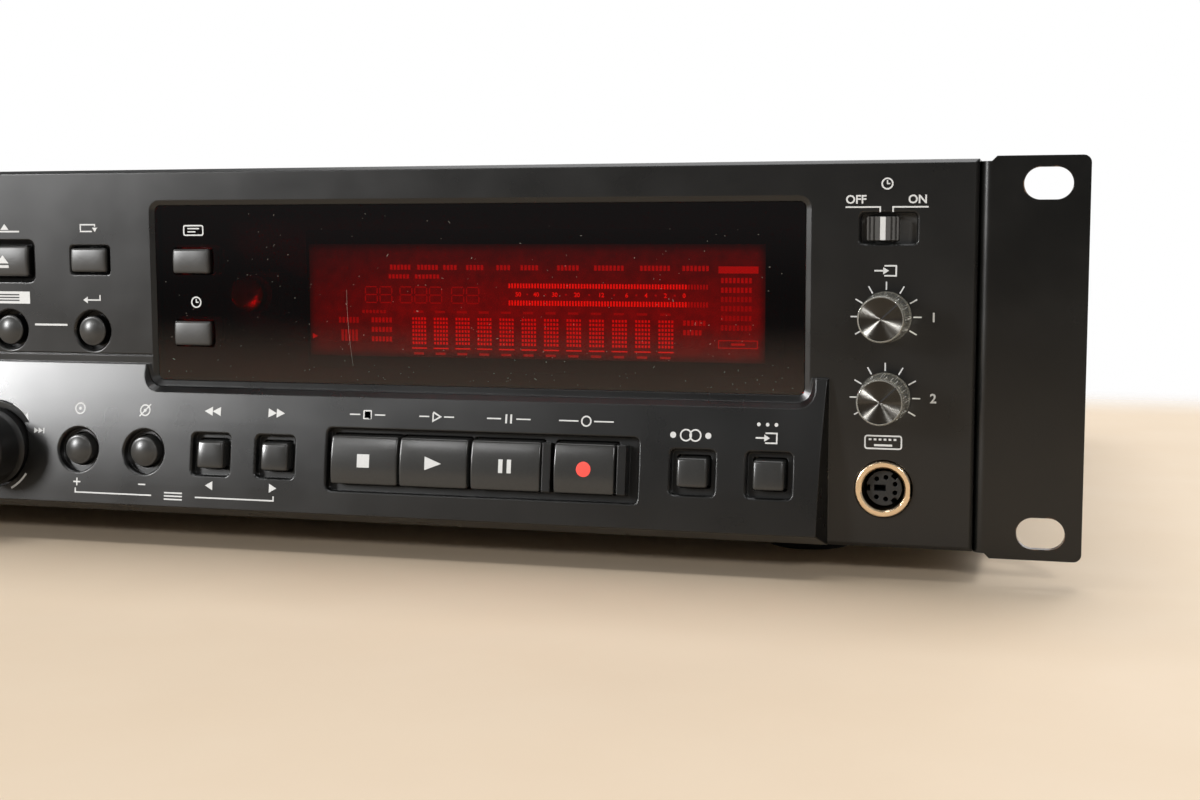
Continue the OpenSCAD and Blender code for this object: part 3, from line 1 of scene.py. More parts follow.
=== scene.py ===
"""Looks of a rack-mount disc recorder with a motor tray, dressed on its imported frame.

Shapes are worked out in millimetres on the panel's own axes: x to the right, y back from the panel face and
z up from the middle of the rack flange. Panel.row() turns them into the frame's metres.
"""
import json
import logging
import math
from dataclasses import dataclass, field
from enum import Enum
from functools import cached_property
from typing import Any, Callable

import bpy
import numpy as np
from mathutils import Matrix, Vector


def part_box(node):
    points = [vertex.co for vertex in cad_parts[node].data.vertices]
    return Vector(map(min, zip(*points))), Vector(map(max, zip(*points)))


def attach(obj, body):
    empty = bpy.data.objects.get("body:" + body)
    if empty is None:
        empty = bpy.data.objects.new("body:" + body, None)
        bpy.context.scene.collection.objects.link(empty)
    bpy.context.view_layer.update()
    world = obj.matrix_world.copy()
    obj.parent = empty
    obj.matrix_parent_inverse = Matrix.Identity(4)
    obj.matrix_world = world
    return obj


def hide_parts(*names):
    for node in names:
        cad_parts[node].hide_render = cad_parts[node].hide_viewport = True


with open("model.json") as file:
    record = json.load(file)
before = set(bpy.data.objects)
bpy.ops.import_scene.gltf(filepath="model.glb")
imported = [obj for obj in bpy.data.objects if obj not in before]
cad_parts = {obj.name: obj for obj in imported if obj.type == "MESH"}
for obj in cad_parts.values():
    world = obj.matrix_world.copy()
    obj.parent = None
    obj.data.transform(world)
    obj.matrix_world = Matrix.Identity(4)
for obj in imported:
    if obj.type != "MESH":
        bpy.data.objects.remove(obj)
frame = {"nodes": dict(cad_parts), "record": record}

LOG = logging.getLogger("disc_recorder")
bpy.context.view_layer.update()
Surface = Callable[[np.ndarray, np.ndarray], np.ndarray]
Socket = bpy.types.NodeSocket
Pair = tuple[float, float]
QUARTER = np.pi / 2
# How far print stands out of what carries it, and how far its back lies in it
INK_T, INK_SUNK = 0.03, 0.04
# Steps of a rounded corner, and points along a side
ARC, SIDE = 5, 7


@dataclass(frozen=True)
class Seat:
    """Place of a CAD node: its middle across and up, its front and back, and half its width."""

    at: np.ndarray
    front: float
    back: float
    radius: float


@dataclass(frozen=True)
class Panel:
    """The panel's own axes in the frame, and the rounded strip along its foot."""

    face: float
    middle: float
    strip_radius: float = 236.0
    strip_top: Pair = (-1.0, -5.0)
    strip_foot: Pair = (-6.7, -40.0)

    @property
    def origin(self) -> np.ndarray:
        """Place of the panel's origin in the frame, in millimetres."""
        return np.array([0.0, self.face, self.middle])

    def row(self, points: np.ndarray) -> np.ndarray:
        """Move panel millimetres into the frame's metres."""
        return (points + self.origin) / 1000

    def span(self, node: str) -> np.ndarray:
        """Give the lowest and highest corner of a CAD node in panel millimetres."""
        return np.array([list(corner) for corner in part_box(node)]) * 1000 - self.origin

    def seat(self, node: str) -> Seat:
        """Give the place of a CAD node."""
        low, high = self.span(node)
        return Seat((low + high)[[0, 2]] / 2, low[1], high[1], (high[0] - low[0]) / 2)

    def strip_middle(self) -> Pair:
        """Find the middle of the strip's circle, a radius away from both of its edges.

        Returns:
            The middle in y and z.
        """
        (y0, z0), (y1, z1) = self.strip_top, self.strip_foot
        chord = math.hypot(y1 - y0, z1 - z0)
        arm = math.sqrt(self.strip_radius ** 2 - chord ** 2 / 4)
        return (y0 + y1) / 2 + arm * (z0 - z1) / chord, (z0 + z1) / 2 - arm * (y0 - y1) / chord

    def strip(self, x: np.ndarray, z: np.ndarray) -> np.ndarray:
        """Depth of the strip: its circle's middle less the half chord at that height."""
        y, middle = self.strip_middle()
        return y - np.sqrt(self.strip_radius ** 2 - (z - middle) ** 2) + 0 * x


def level(y: float) -> Surface:
    """Give a flat surface at one depth."""
    return lambda x, z: np.full_like(x, y)


EAR_LOW, EAR_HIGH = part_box("rack_ear_right")
PANEL = Panel(EAR_LOW.y * 1000, (EAR_LOW.z + EAR_HIGH.z) * 500)
# The flat panel's face and the window's
FACE, GLASS = level(0.0), level(0.6)


# Surfaces


@dataclass
class Skin:
    """Points and faces of one or more closed surfaces."""

    points: np.ndarray
    faces: list[list[int]]


def join(skins: list[Skin]) -> Skin:
    """Put several skins into one.

    Args:
        skins: The skins, each closed by itself.

    Returns:
        One skin with the faces' numbers moved on by the points before them.
    """
    starts = np.cumsum([0] + [len(skin.points) for skin in skins])
    faces = [[i + int(start) for i in face] for skin, start in zip(skins, starts) for face in skin.faces]
    return Skin(np.concatenate([skin.points for skin in skins]), faces)


def closed(points: np.ndarray, *parts: np.ndarray) -> Skin:
    """Turn the faces of a closed surface outwards.

    The volume is the sum of the triple products of each face's fan of triangles, and a negative one means
    that the faces look inwards.

    Args:
        points: Corners, one row each.
        parts: Arrays of faces, each with one number of corners.

    Returns:
        The skin with its faces outwards.
    """
    volume = sum(np.sum(points[part[:, 0]] * np.cross(points[part[:, i]], points[part[:, i + 1]]))
                 for part in parts for i in range(1, part.shape[1] - 1))
    step = 1 if volume > 0 else -1
    return Skin(points, [face for part in parts for face in part[:, ::step].tolist()])


def loft(rings: np.ndarray, start: np.ndarray | None = None, end: np.ndarray | None = None) -> Skin:
    """Carry rings along a path: point (i, j) of the grid is point j of ring i.

    Args:
        rings: Array of rings, each with as many points.
        start: Pole that closes the first ring with a fan, or none where the last ring meets the first.
        end: Pole that closes the last ring.

    Returns:
        The closed skin.
    """
    count, size = rings.shape[:2]
    row, col = np.meshgrid(np.arange(count if start is None else count - 1), np.arange(size), indexing="ij")
    after, below = (col + 1) % size, (row + 1) % count
    quads = np.stack([row * size + col, row * size + after, below * size + after, below * size + col], -1)
    points, quads = rings.reshape(-1, 3), quads.reshape(-1, 4)
    if start is None:
        return closed(points, quads)
    edge, last, pole = np.arange(size), (count - 1) * size, np.full(size, count * size)
    after = np.roll(edge, -1)
    fans = [np.stack([after, edge, pole], -1), np.stack([last + edge, last + after, pole + 1], -1)]
    return closed(np.concatenate([points, [start, end]]), quads, np.concatenate(fans))


def turned(profile: np.ndarray, at: np.ndarray, around: int, swell: np.ndarray | float = 0.0) -> np.ndarray:
    """Turn a profile round an axis along y: x = r cos a, z = r sin a, with r and y from the profile.

    Args:
        profile: Rows of radius and depth.
        at: Place of the axis, across and up.
        around: Number of points round.
        swell: Radius added at each row and angle, such as flutes.

    Returns:
        One ring of points for each row.
    """
    angle = np.linspace(0, 4 * QUARTER, around, endpoint=False)
    radius = profile[:, :1] + swell
    return np.stack([at[0] + radius * np.cos(angle), profile[:, 1:] + 0 * angle,
                     at[1] + radius * np.sin(angle)], -1)


def lathe(profile: np.ndarray, at: np.ndarray, around: int = 72, swell: np.ndarray | float = 0.0) -> Skin:
    """Turn a closed skin, whose poles lie at the depths of the profile's first and last rows."""
    poles = [np.array([at[0], depth, at[1]]) for depth in profile[[0, -1], 1]]
    return loft(turned(profile[1:-1], at, around, swell), *poles)


def heading(angle: np.ndarray) -> np.ndarray:
    """Give steps of one millimetre at angles, across and up."""
    return np.stack([np.cos(angle), np.sin(angle)], -1)


def rounded_edge(inner: float, front: float, edge: float, count: int) -> np.ndarray:
    """Give a quarter round from a wall to a face: r = inner + e cos a, y = front + e (1 - sin a)."""
    turn = np.linspace(0, QUARTER, count)
    return np.stack([inner + edge * np.cos(turn), front + edge * (1 - np.sin(turn))], -1)


def slabs(boxes: np.ndarray) -> Skin:
    """Make plain blocks: corner k of a block takes its low or high side by the bits of k.

    Args:
        boxes: Rows of x0, x1, y0, y1, z0, z1.

    Returns:
        One skin with all the blocks.
    """
    bits = np.array([[k >> i & 1 for i in range(3)] for k in range(8)])
    sides = boxes.reshape(-1, 1, 3, 2)
    block = np.array([[0, 2, 3, 1], [4, 5, 7, 6], [0, 1, 5, 4], [2, 6, 7, 3], [0, 4, 6, 2], [1, 3, 7, 5]])
    return Skin(np.where(bits, sides[..., 1], sides[..., 0]).reshape(-1, 3),
                (np.arange(len(boxes))[:, None, None] * 8 + block).reshape(-1, 4).tolist())


def sheets(x: np.ndarray, z: np.ndarray, surface: Surface, thick: float, sunk: float) -> np.ndarray:
    """Give the points of a thin plate on a surface: its face, which stands out, and its sunk back."""
    return np.concatenate([np.stack([x, surface(x, z) + off, z], -1).reshape(-1, 3)
                           for off in (-thick, sunk)])


def prism(outline: np.ndarray, surface: Surface, thick: float = INK_T, sunk: float = INK_SUNK) -> Skin:
    """Raise an outline off a surface as a thin closed plate that follows it.

    Args:
        outline: Rows of x and z round the plate.
        surface: Depth of what carries it, at x and z.
        thick: How far its face stands out.
        sunk: How far its back lies in what carries it.

    Returns:
        The closed skin.
    """
    x, z = outline.T
    if np.sum(x * np.roll(z, -1) - z * np.roll(x, -1)) < 0:
        x, z = x[::-1], z[::-1]
    count, edge = len(x), np.arange(len(x))
    after = np.roll(edge, -1)
    sides = np.stack([edge, edge + count, after + count, after], -1)
    return Skin(sheets(x, z, surface, thick, sunk),
                [edge.tolist(), (edge[::-1] + count).tolist(), *sides.tolist()])


def plate(left: np.ndarray, right: np.ndarray, z: np.ndarray, surface: Surface) -> Skin:
    """Lay a thin plate on a crowned face, row by row: row k runs from left k to right k at height k.

    Args:
        left: Left ends of the rows.
        right: Right ends of the rows.
        z: Heights of the rows.
        surface: Depth of what carries it, at x and z.

    Returns:
        The closed skin.
    """
    points = sheets(np.stack([left, right], -1), np.stack([z, z], -1), surface, INK_T, INK_SUNK)
    k, b = np.arange(len(z) - 1)[:, None] * 2, 2 * len(z)
    sides = np.array([[0, 1, 3, 2], [b, b + 2, b + 3, b + 1], [0, 2, b + 2, b], [1, b + 1, b + 3, 3]])
    ends = np.array([[0, b, b + 1, 1], [b - 2, b - 1, 2 * b - 1, 2 * b - 2]])
    return closed(points, np.concatenate([k + side for side in sides] + [ends]))


def rounded(width: float, height: float, radius: float, arc: int = ARC, side: int = SIDE) -> np.ndarray:
    """Give a rounded rectangle, anticlockwise: each quarter arc is followed by points along the next side.

    Args:
        width: Size across.
        height: Size up.
        radius: Corner radius.
        arc: Steps in a quarter arc.
        side: Points along a side, between its two arcs.

    Returns:
        Rows of x and z.
    """
    turn = np.linspace(0, QUARTER, arc + 1) + np.arange(4)[:, None] * QUARTER
    middles = np.array([[1, 1], [-1, 1], [-1, -1], [1, -1]]) * [width / 2 - radius, height / 2 - radius]
    arcs = middles[:, None] + radius * heading(turn)
    share = np.linspace(0, 1, side + 2)[1:-1, None]
    sides = arcs[:, -1:] + (np.roll(arcs[:, 0], -1, 0) - arcs[:, -1])[:, None] * share
    return np.concatenate([arcs, sides], 1).reshape(-1, 2)


def round_like(radius: float) -> np.ndarray:
    """Give a circle whose points match those of rounded(), the middle of each corner at 45 degrees."""
    angle = QUARTER * (0.5 + (np.arange(4 * (ARC + 1 + SIDE)) - ARC / 2) / (ARC + 1 + SIDE))
    return radius * heading(angle)


def at_depth(loop: np.ndarray, y: np.ndarray | float) -> np.ndarray:
    """Put rows of x and z at a depth."""
    return np.column_stack([loop[:, 0], np.broadcast_to(y, len(loop)), loop[:, 1]])


def triangles(mesh: bpy.types.Mesh, scale: float, shift: np.ndarray | float, digits: int) -> tuple:
    """Read a mesh's triangles, with corners at one place merged.

    Args:
        mesh: The mesh.
        scale: What its coordinates are multiplied by.
        shift: What is then taken off them.
        digits: Decimals to which two corners have to agree.

    Returns:
        The places, and rows of three of their numbers.
    """
    mesh.calc_loop_triangles()
    points = np.empty(len(mesh.vertices) * 3)
    mesh.vertices.foreach_get("co", points)
    corners = np.empty(len(mesh.loop_triangles) * 3, np.int32)
    mesh.loop_triangles.foreach_get("vertices", corners)
    spots, where = np.unique(np.round(points.reshape(-1, 3) * scale - shift, digits), axis=0,
                             return_inverse=True)
    faces = where.reshape(-1)[corners].reshape(-1, 3)
    return spots, faces[(faces != np.roll(faces, 1, 1)).all(1)]


def lettering(text: str, height: float, at: Pair, surface: Surface, bold: float = 0.06) -> Skin:
    """Set plain numbers or ON and OFF as thin plates.

    Args:
        text: What is set.
        height: Height of a capital.
        at: Middle of the words, across and up.
        surface: Depth of what carries them.
        bold: How much the strokes are widened.

    Returns:
        The skin of all the glyphs.
    """
    capital = 0.73
    curve = bpy.data.curves.new("lettering", "FONT")
    curve.body, curve.size, curve.extrude, curve.offset = text, height / capital, INK_SUNK, bold
    curve.resolution_u = 3
    holder = bpy.data.objects.new("lettering", curve)
    bpy.context.scene.collection.objects.link(holder)
    bpy.context.view_layer.update()
    made = holder.evaluated_get(bpy.context.evaluated_depsgraph_get()).to_mesh()
    spots, faces = triangles(made, 1, 0.0, 5)
    bpy.data.objects.remove(holder)
    bpy.data.curves.remove(curve)
    spots = spots - (spots.min(0) + spots.max(0)) / 2
    x, z = spots[:, 0] + at[0], spots[:, 1] + at[1]
    return Skin(np.stack([x, surface(x, z) - spots[:, 2], z], -1), faces.tolist())


# Finishes


def linear(code: str) -> tuple[float, ...]:
    """Turn an sRGB hex value into linear red, green and blue with full alpha."""
    rgb = np.array([int(code[i:i + 2], 16) for i in (1, 3, 5)]) / 255
    return *np.where(rgb <= 0.04045, rgb / 12.92, ((rgb + 0.055) / 1.055) ** 2.4).tolist(), 1.0


def add(tree: bpy.types.NodeTree, kind: str, inputs: dict | None = None, **settings: Any) -> bpy.types.Node:
    """Add a node to a tree.

    Args:
        tree: The tree.
        kind: Blender's name of the node.
        inputs: Sockets, numbers or hex colours for its inputs, by name or number.
        settings: The node's own settings.

    Returns:
        The node.
    """
    node = tree.nodes.new(kind)
    for name, value in settings.items():
        setattr(node, name, value)
    for name, value in (inputs or {}).items():
        if isinstance(value, Socket):
            tree.links.new(value, node.inputs[name])
        else:
            node.inputs[name].default_value = linear(value) if isinstance(value, str) else value
    return node


@dataclass
class Wiring:
    """Short names for the nodes that the finishes use most, all in one tree."""

    tree: bpy.types.NodeTree

    @cached_property
    def place(self) -> Socket:
        """Object coordinates in panel millimetres, so that a pattern keeps its real size and place."""
        spot = add(self.tree, "ShaderNodeTexCoord").outputs["Object"]
        return self.one("ShaderNodeMapping", {"Vector": spot, "Location": (0, -PANEL.face, -PANEL.middle),
                                              "Scale": (1000,) * 3})

    def one(self, kind: str, inputs: dict | None = None, **settings: Any) -> Socket:
        """Add a node and give its first output."""
        return add(self.tree, kind, inputs, **settings).outputs[0]

    def calc(self, operation: str, *values: Socket | float) -> Socket:
        """Do one operation on sockets or numbers."""
        return self.one("ShaderNodeMath", dict(enumerate(values)), operation=operation)

    def remap(self, value: Socket, span: Pair, to: Pair = (0.0, 1.0), kind: str = "LINEAR") -> Socket:
        """Carry a value from one span to another, held at both ends."""
        return self.one("ShaderNodeMapRange", {0: value, 1: span[0], 2: span[1], 3: to[0], 4: to[1]},
                        interpolation_type=kind)

    def blend(self, share: Socket, first: Socket | str, second: Socket | str) -> Socket:
        """Mix two colours."""
        return add(self.tree, "ShaderNodeMix", {0: share, 6: first, 7: second}, data_type="RGBA").outputs[2]

    def mixed(self, share: Socket, first: Socket, second: Socket) -> Socket:
        """Mix two shaders."""
        return self.one("ShaderNodeMixShader", {0: share, 1: first, 2: second})

    def noise(self, size: float, detail: float) -> Socket:
        """Give a cloudy value whose clouds have a size in millimetres."""
        return self.one("ShaderNodeTexNoise", {"Vector": self.place, "Scale": 1 / size, "Detail": detail})

    def axes(self, vector: Socket) -> Any:
        """Take a vector apart."""
        return add(self.tree, "ShaderNodeSeparateXYZ", {0: vector}).outputs

    def length(self, x: Socket, z: Socket) -> Socket:
        """Give the length of a step across and up."""
        step = self.one("ShaderNodeCombineXYZ", {0: x, 2: z})
        return add(self.tree, "ShaderNodeVectorMath", {0: step}, operation="LENGTH").outputs["Value"]


@dataclass(frozen=True)
class Finish:
    """A moulded, painted or plated finish: two close tones, a fine grain and patches of uneven gloss."""

    name: str
    dark: str
    light: str
    rough: Pair
    grain: float
    height: float = 0.0
    patch: float = 18.0
    metallic: float = 0.0
    ior: float = 1.5
    edge: float = 0.0

    def material(self) -> bpy.types.Material:
        """Build the finish once and hand out the same one afterwards.

        Returns:
            The material.
        """
        made = bpy.data.materials.get(self.name)
        if made is None:
            made = bpy.data.materials.new(self.name)
            made.use_nodes = True
            made.node_tree.nodes.clear()
            shader = self.shade(Wiring(made.node_tree))
            add(made.node_tree, "ShaderNodeOutputMaterial", {"Surface": shader})
        return made

    def tone(self, wires: Wiring, grain: Socket) -> Socket:
        """Give the colour: from the dark to the light tone with the grain."""
        return wires.blend(grain, self.dark, self.light)

    def gloss(self, wires: Wiring, detail: float = 4.0, span: Pair = (0.3, 0.7)) -> Socket:
        """Give the roughness, uneven in patches."""
        return wires.remap(wires.noise(self.patch, detail), span, self.rough)

    def shade(self, wires: Wiring) -> Socket:
        """Build the shader, with rounded edges and a bumpy grain where the finish has them.

        Args:
            wires: The material's nodes.

        Returns:
            The shader.
        """
        grain = wires.noise(self.grain, 3.0)
        inputs = {"Metallic": self.metallic, "IOR": self.ior, "Base Color": self.tone(wires, grain),
                  "Roughness": self.gloss(wires)}
        normal = {}
        if self.edge:
            normal["Normal"] = wires.one("ShaderNodeBevel", {"Radius": self.edge / 1000}, samples=6)
        if self.height:
            normal["Normal"] = wires.one("ShaderNodeBump", {"Distance": self.height / 1000, "Strength": 1.0,
                                                            "Height": grain, **normal})
        return wires.one("ShaderNodeBsdfPrincipled", {**inputs, **normal})


@dataclass(frozen=True)
class EarPaint(Finish):
    """Semi-gloss black paint on the rack ears, rubbed through to steel along the edges of the slots."""

    bare: str = "#5e4a3a"
    slot: Pair = (232.55, 38.1)
    slot_half: float = 1.65
    # How far from the slot's middle line the paint is rubbed off, and how often that changes in a millimetre
    worn: Pair = (3.45, 3.82)
    ragged: float = 0.45

    def tone(self, wires: Wiring, grain: Socket) -> Socket:
        """Paint the tone, and bare metal within a ragged distance of a slot's edge.

        The distance is that to a capsule's middle line: the part of |x| past its straight half, and |z|.

        Args:
            wires: The material's nodes.
            grain: The grain's value.

        Returns:
            The colour.
        """
        spot = wires.axes(wires.one("ShaderNodeVectorMath", {0: wires.place}, operation="ABSOLUTE"))
        off_x = wires.calc("ABSOLUTE", wires.calc("SUBTRACT", spot[0], self.slot[0]))
        off_x = wires.calc("MAXIMUM", wires.calc("SUBTRACT", off_x, self.slot_half), 0.0)
        off = wires.length(off_x, wires.calc("SUBTRACT", spot[2], self.slot[1]))
        reach = wires.remap(wires.noise(1 / self.ragged, 4.0), (0.42, 0.75), self.worn)
        return wires.blend(wires.calc("LESS_THAN", off, reach), super().tone(wires, grain), self.bare)


@dataclass(frozen=True)
class CapPaintWellShade(Finish):
    """Grey paint on a key's cap, darkening with depth to near black inside its well: painted shade in the
    well, over the bare black moulding of the flange.
    """

    # Near black of the bare flange, and the depths over which the cap fades to it as painted shade in the
    # well
    bare: str = "#060606"
    ends: Pair = (-0.3, 0.08)

    def tone(self, wires: Wiring, grain: Socket) -> Socket:
        """Darken the paint to near black by the depth behind the panel face: painted shade in the well, and
        the bare moulding.
        """
        # Painted shade: the deeper into the well, the darker
        deep = wires.remap(wires.axes(wires.place)[1], self.ends)
        return wires.blend(deep, super().tone(wires, grain), self.bare)


@dataclass(frozen=True)
class PaleFloor(Finish):
    """A pale matt table top that fades to clear at its front and back edges."""

    front: Pair = (-1.0, 0.0)
    behind: Pair = (1.0, 0.0)

    def shade(self, wires: Wiring) -> Socket:
        """Mix the matt shader with a clear one by the two fades along y.

        Args:
            wires: The material's nodes.

        Returns:
            The shader.
        """
        spot = wires.axes(add(wires.tree, "ShaderNodeTexCoord").outputs["Object"])
        fades = [wires.remap(spot[1], span, kind="SMOOTHSTEP") for span in (self.front, self.behind)]
        clear = wires.one("ShaderNodeBsdfTransparent")
        return wires.mixed(wires.calc("MULTIPLY", *fades), clear, super().shade(wires))


@dataclass(frozen=True)
class WindowAcrylic(Finish):
    """Polished acrylic with a dye in it, which lets the lamps through to what lies behind."""

    clear: float = 1.0

    def shade(self, wires: Wiring) -> Socket:
        """Build a clear dyed shader with faint wipe marks in its gloss.

        Args:
            wires: The material's nodes.

        Returns:
            The shader.
        """
        dyed = wires.one("ShaderNodeBsdfPrincipled", {
            "Base Color": self.dark, "IOR": self.ior, "Transmission Weight": self.clear,
            "Roughness": self.gloss(wires, 5.0, (0.4, 0.8))})
        # Lamps shine straight through the dye, so that the sensor and the tube behind it are lit
        clear = wires.one("ShaderNodeBsdfTransparent", {"Color": self.light})
        return wires.mixed(add(wires.tree, "ShaderNodeLightPath").outputs["Is Shadow Ray"], dyed, clear)


@dataclass(frozen=True)
class Glow(Finish):
    """A lit phosphor seen through the window's dye, with the slight cloudiness of a screen print."""

    strength: float = 1.0
    unlit: str = "#100404"

    def shade(self, wires: Wiring) -> Socket:
        """Build a dark base that gives off the clouded colour."""
        colour = self.tone(wires, wires.noise(self.grain, 2.0))
        return wires.one("ShaderNodeBsdfPrincipled", {
            "Base Color": self.unlit, "Roughness": self.rough[0], "Emission Strength": self.strength,
            "Emission Color": colour})


@dataclass(frozen=True)
class GlowField(Glow):
    """The lit ground of the display: deep red above, orange brown below, weaker at the left."""

    foot: str = "#8a3008"
    z_span: Pair = (-2.5, 25.0)
    x_span: Pair = (56.5, 170.5)
    dim_to: float = 85.0
    fade: float = 2.2
    brightest: float = 0.42

    def tone(self, wires: Wiring, grain: Socket) -> Socket:
        """Blend the colours up the field, then weaken the left with a level from x and the grain.

        Args:
            wires: The material's nodes.
            grain: The grain's value.

        Returns:
            The colour.
        """
        spot = wires.axes(wires.place)
        ramp = add(wires.tree, "ShaderNodeValToRGB", {0: wires.remap(spot[2], self.z_span)})
        stops = ramp.color_ramp.elements
        stops[0].color, stops[1].color = linear(self.foot), linear(self.dark)
        stops.new(self.brightest).color = linear(self.light)
        shares = [wires.remap(grain, (0.3, 0.7), (0.75, 1.15))]
        # Each edge fades in over a short way: the product of four ramps
        for axis, (low, high) in ((0, self.x_span), (2, self.z_span)):
            shares += [wires.remap(spot[axis], span, (0.3, 1.0), "SMOOTHSTEP")
                       for span in ((low, low + self.fade), (high, high - self.fade))]
        lit = wires.remap(spot[0], (self.x_span[0], self.dim_to), (0.4, 0.9))
        for share in shares:
            lit = wires.calc("MULTIPLY", lit, share)
        return wires.one("ShaderNodeVectorMath", {0: ramp.outputs[0], "Scale": lit}, operation="SCALE")


@dataclass(frozen=True)
class JackMetal(Finish):
    """Gold-flashed phono barrels with moulded insulators, red in the right pairs and white in the left."""

    first: Pair = (62.0, -25.0)
    pitch: Pair = (18.0, 16.0)
    insulator: float = 3.3
    insulators: tuple[str, str] = ("#a8231c", "#d8d6ce")
    block: str = "#141414"
    block_y: float = 284.0

    def tone(self, wires: Wiring, grain: Socket) -> Socket:
        """Colour by the distance to the nearest barrel's axis, and black in front of the rear panel.

        Args:
            wires: The material's nodes.
            grain: The grain's value.

        Returns:
            The colour.
        """
        spot = wires.axes(wires.place)
        near = []
        for value, first, pitch in zip((spot[0], spot[2]), self.first, self.pitch):
            wrapped = wires.calc("WRAP", value, first + pitch / 2, first - pitch / 2)
            near.append(wires.calc("SUBTRACT", wrapped, first))
        inner = wires.calc("LESS_THAN", wires.length(*near), self.insulator)
        upper = wires.calc("GREATER_THAN", spot[2], self.first[1] + self.pitch[1] / 2)
        barrel = wires.blend(inner, super().tone(wires, grain), wires.blend(upper, *self.insulators))
        return wires.blend(wires.calc("LESS_THAN", spot[1], self.block_y), barrel, self.block)


# Moulded ABS with a fine spark texture: it spreads a highlight into a soft grey bloom
PANEL_ABS = Finish("moulded_black_abs", "#090909", "#0f0f0e", (0.26, 0.32), 0.35, 0.003, ior=1.52, edge=0.4)
# Matt moulded ABS of the flat keys: a broad bloom over the whole face
KEY_ABS = CapPaintWellShade("matt_key_abs", "#2c2c2b", "#343433", (0.36, 0.44), 0.5, 0.002)
# Smooth moulded ABS of the strip's keys: clear bands of light, and bright edges
BUTTON_ABS = CapPaintWellShade("smooth_button_abs", "#272726", "#2e2e2d", (0.2, 0.26), 0.5, 0.001)
# Satin moulded ABS of the round buttons: a soft spot of light
DOME_ABS = CapPaintWellShade("satin_button_abs", "#2a2a29", "#323231", (0.3, 0.36), 0.5, 0.001)
# The jog dial is softer to the touch, so its bloom is wider
DIAL_ABS = Finish("satin_dial_abs", "#0e0e0e", "#131313", (0.42, 0.5), 0.5, 0.003)
# Powder-coated steel cover: a fine orange peel under a satin gloss
CASE_COAT = Finish("black_powder_coat", "#121211", "#1a1a19", (0.46, 0.52), 0.6, 0.012, 90.0, edge=0.25)
# Semi-gloss paint of the rack ears, smooth enough to show a dim picture of the table
EAR_COAT = EarPaint("semi_gloss_ear_paint", "#060605", "#090908", (0.2, 0.28), 0.8, 0.003, edge=0.25)
# Zinc-plated sheet inside: a cool grey with a spangled gloss
ZINC = Finish("zinc_plated_sheet", "#9b9c9a", "#b4b5b2", (0.3, 0.48), 4.0, metallic=1.0)
# Blackened steel of the screws: dark, with a dull shine
SCREW_STEEL = Finish("blackened_screw_steel", "#2a2927", "#3a3936", (0.32, 0.45), 0.3, metallic=1.0)
# Moulded rubber of the feet: matt, with a dusty bloom
RUBBER = Finish("moulded_foot_rubber", "#121212", "#1d1d1c", (0.75, 0.9), 0.8, 0.01)
# Glass-fibre board under green solder resist: a faint weave
LAMINATE = Finish("green_board_laminate", "#0f3b22", "#16502f", (0.35, 0.5), 1.2, 0.01)
# Moulded bodies of switches, chips and controls: dull black
PART_PLASTIC = Finish("moulded_part_plastic", "#1c1c1b", "#272725", (0.45, 0.6), 0.4, 0.005)
# Dark glass of the display tube: smooth and almost black
TUBE_GLASS = Finish("dark_tube_glass", "#0a0506", "#0e0708", (0.12, 0.2), 3.0)
# Dark moulding of the remote sensor, and the bright reflector in it
SENSOR_RED = Finish("red_sensor_filter", "#240504", "#300705", (0.3, 0.4), 2.0)
REFLECTOR = Finish("sensor_reflector", "#a89088", "#b8a098", (0.16, 0.24), 1.0, metallic=1.0)
# Bright nickel plate over brass, with faint turning marks; its colour is tinted warm peach, a painted
# reflection of the table
NICKEL_WARM_REFLECTION = Finish("nickel_plate_painted_warm_reflection", "#ecd2ae", "#f4dec0", (0.16, 0.26), 0.4, 0.001, metallic=1.0,
                edge=0.15)
# Glass-filled nylon of the sockets: black and a little dull
SOCKET_NYLON = Finish("black_socket_nylon", "#0d0d0d", "#161615", (0.4, 0.55), 0.3, 0.004, edge=0.15)
# Gold-flashed phono barrels: a warm shine
JACK_GOLD = JackMetal("gold_flashed_jacks", "#b88c3a", "#cfa552", (0.2, 0.32), 0.5, metallic=0.55)
# Flat cable film, white with a smooth shine
RIBBON = Finish("flat_cable_film", "#c9c9c4", "#d8d8d2", (0.3, 0.4), 1.0)
# Loader mouldings in dark glass-filled plastic: dull, with soft edges
LOADER_ABS = Finish("dark_loader_plastic", "#1b1b1c", "#252526", (0.45, 0.6), 0.5, 0.006, edge=0.2)
# Acetal of the pinion, turntable and clamper: milky, with a waxy gloss
ACETAL = Finish("white_acetal", "#d6d3c8", "#e2dfd5", (0.35, 0.45), 1.0, 0.002)
# Clear knob shells, a little milky: light runs round in their walls
KNOB_SHELL = WindowAcrylic("clear_knob_acrylic", "#b4b3ab", "#c8c7c0", (0.04, 0.12), 1.0, patch=4.0,
                           ior=1.49, clear=0.7)
# Turned aluminium knob faces: the ridges draw a highlight into a bow tie
KNOB_FACE = Finish("turned_knob_face", "#454441", "#504f4c", (0.12, 0.18), 0.15, metallic=1.0)
# White screen-print ink, a little thin in places
WHITE_INK = Finish("white_print_ink", "#aeafae", "#c6c7c6", (0.5, 0.65), 0.25)
# Coral mould-in of the record mark: the one warm spot of the front
CORAL_INK = Finish("coral_print_ink", "#df3a2f", "#ef4d3f", (0.4, 0.5), 0.3)
# Black ink of the pointer lines and the list mark: flat black
BLACK_INK = Finish("black_print_ink", "#0a0a0a", "#111111", (0.5, 0.6), 0.3)
# Window acrylic: polished, and deep red against the lit display
ACRYLIC = WindowAcrylic("red_dyed_acrylic", "#6a140e", "#c04238", (0.02, 0.06), 1.0, patch=30.0, ior=1.58)
# Dust and fine scratches that lie on the window: pale specks
DUST = Finish("pale_window_dust", "#5a564e", "#8c877c", (0.7, 0.9), 0.2)
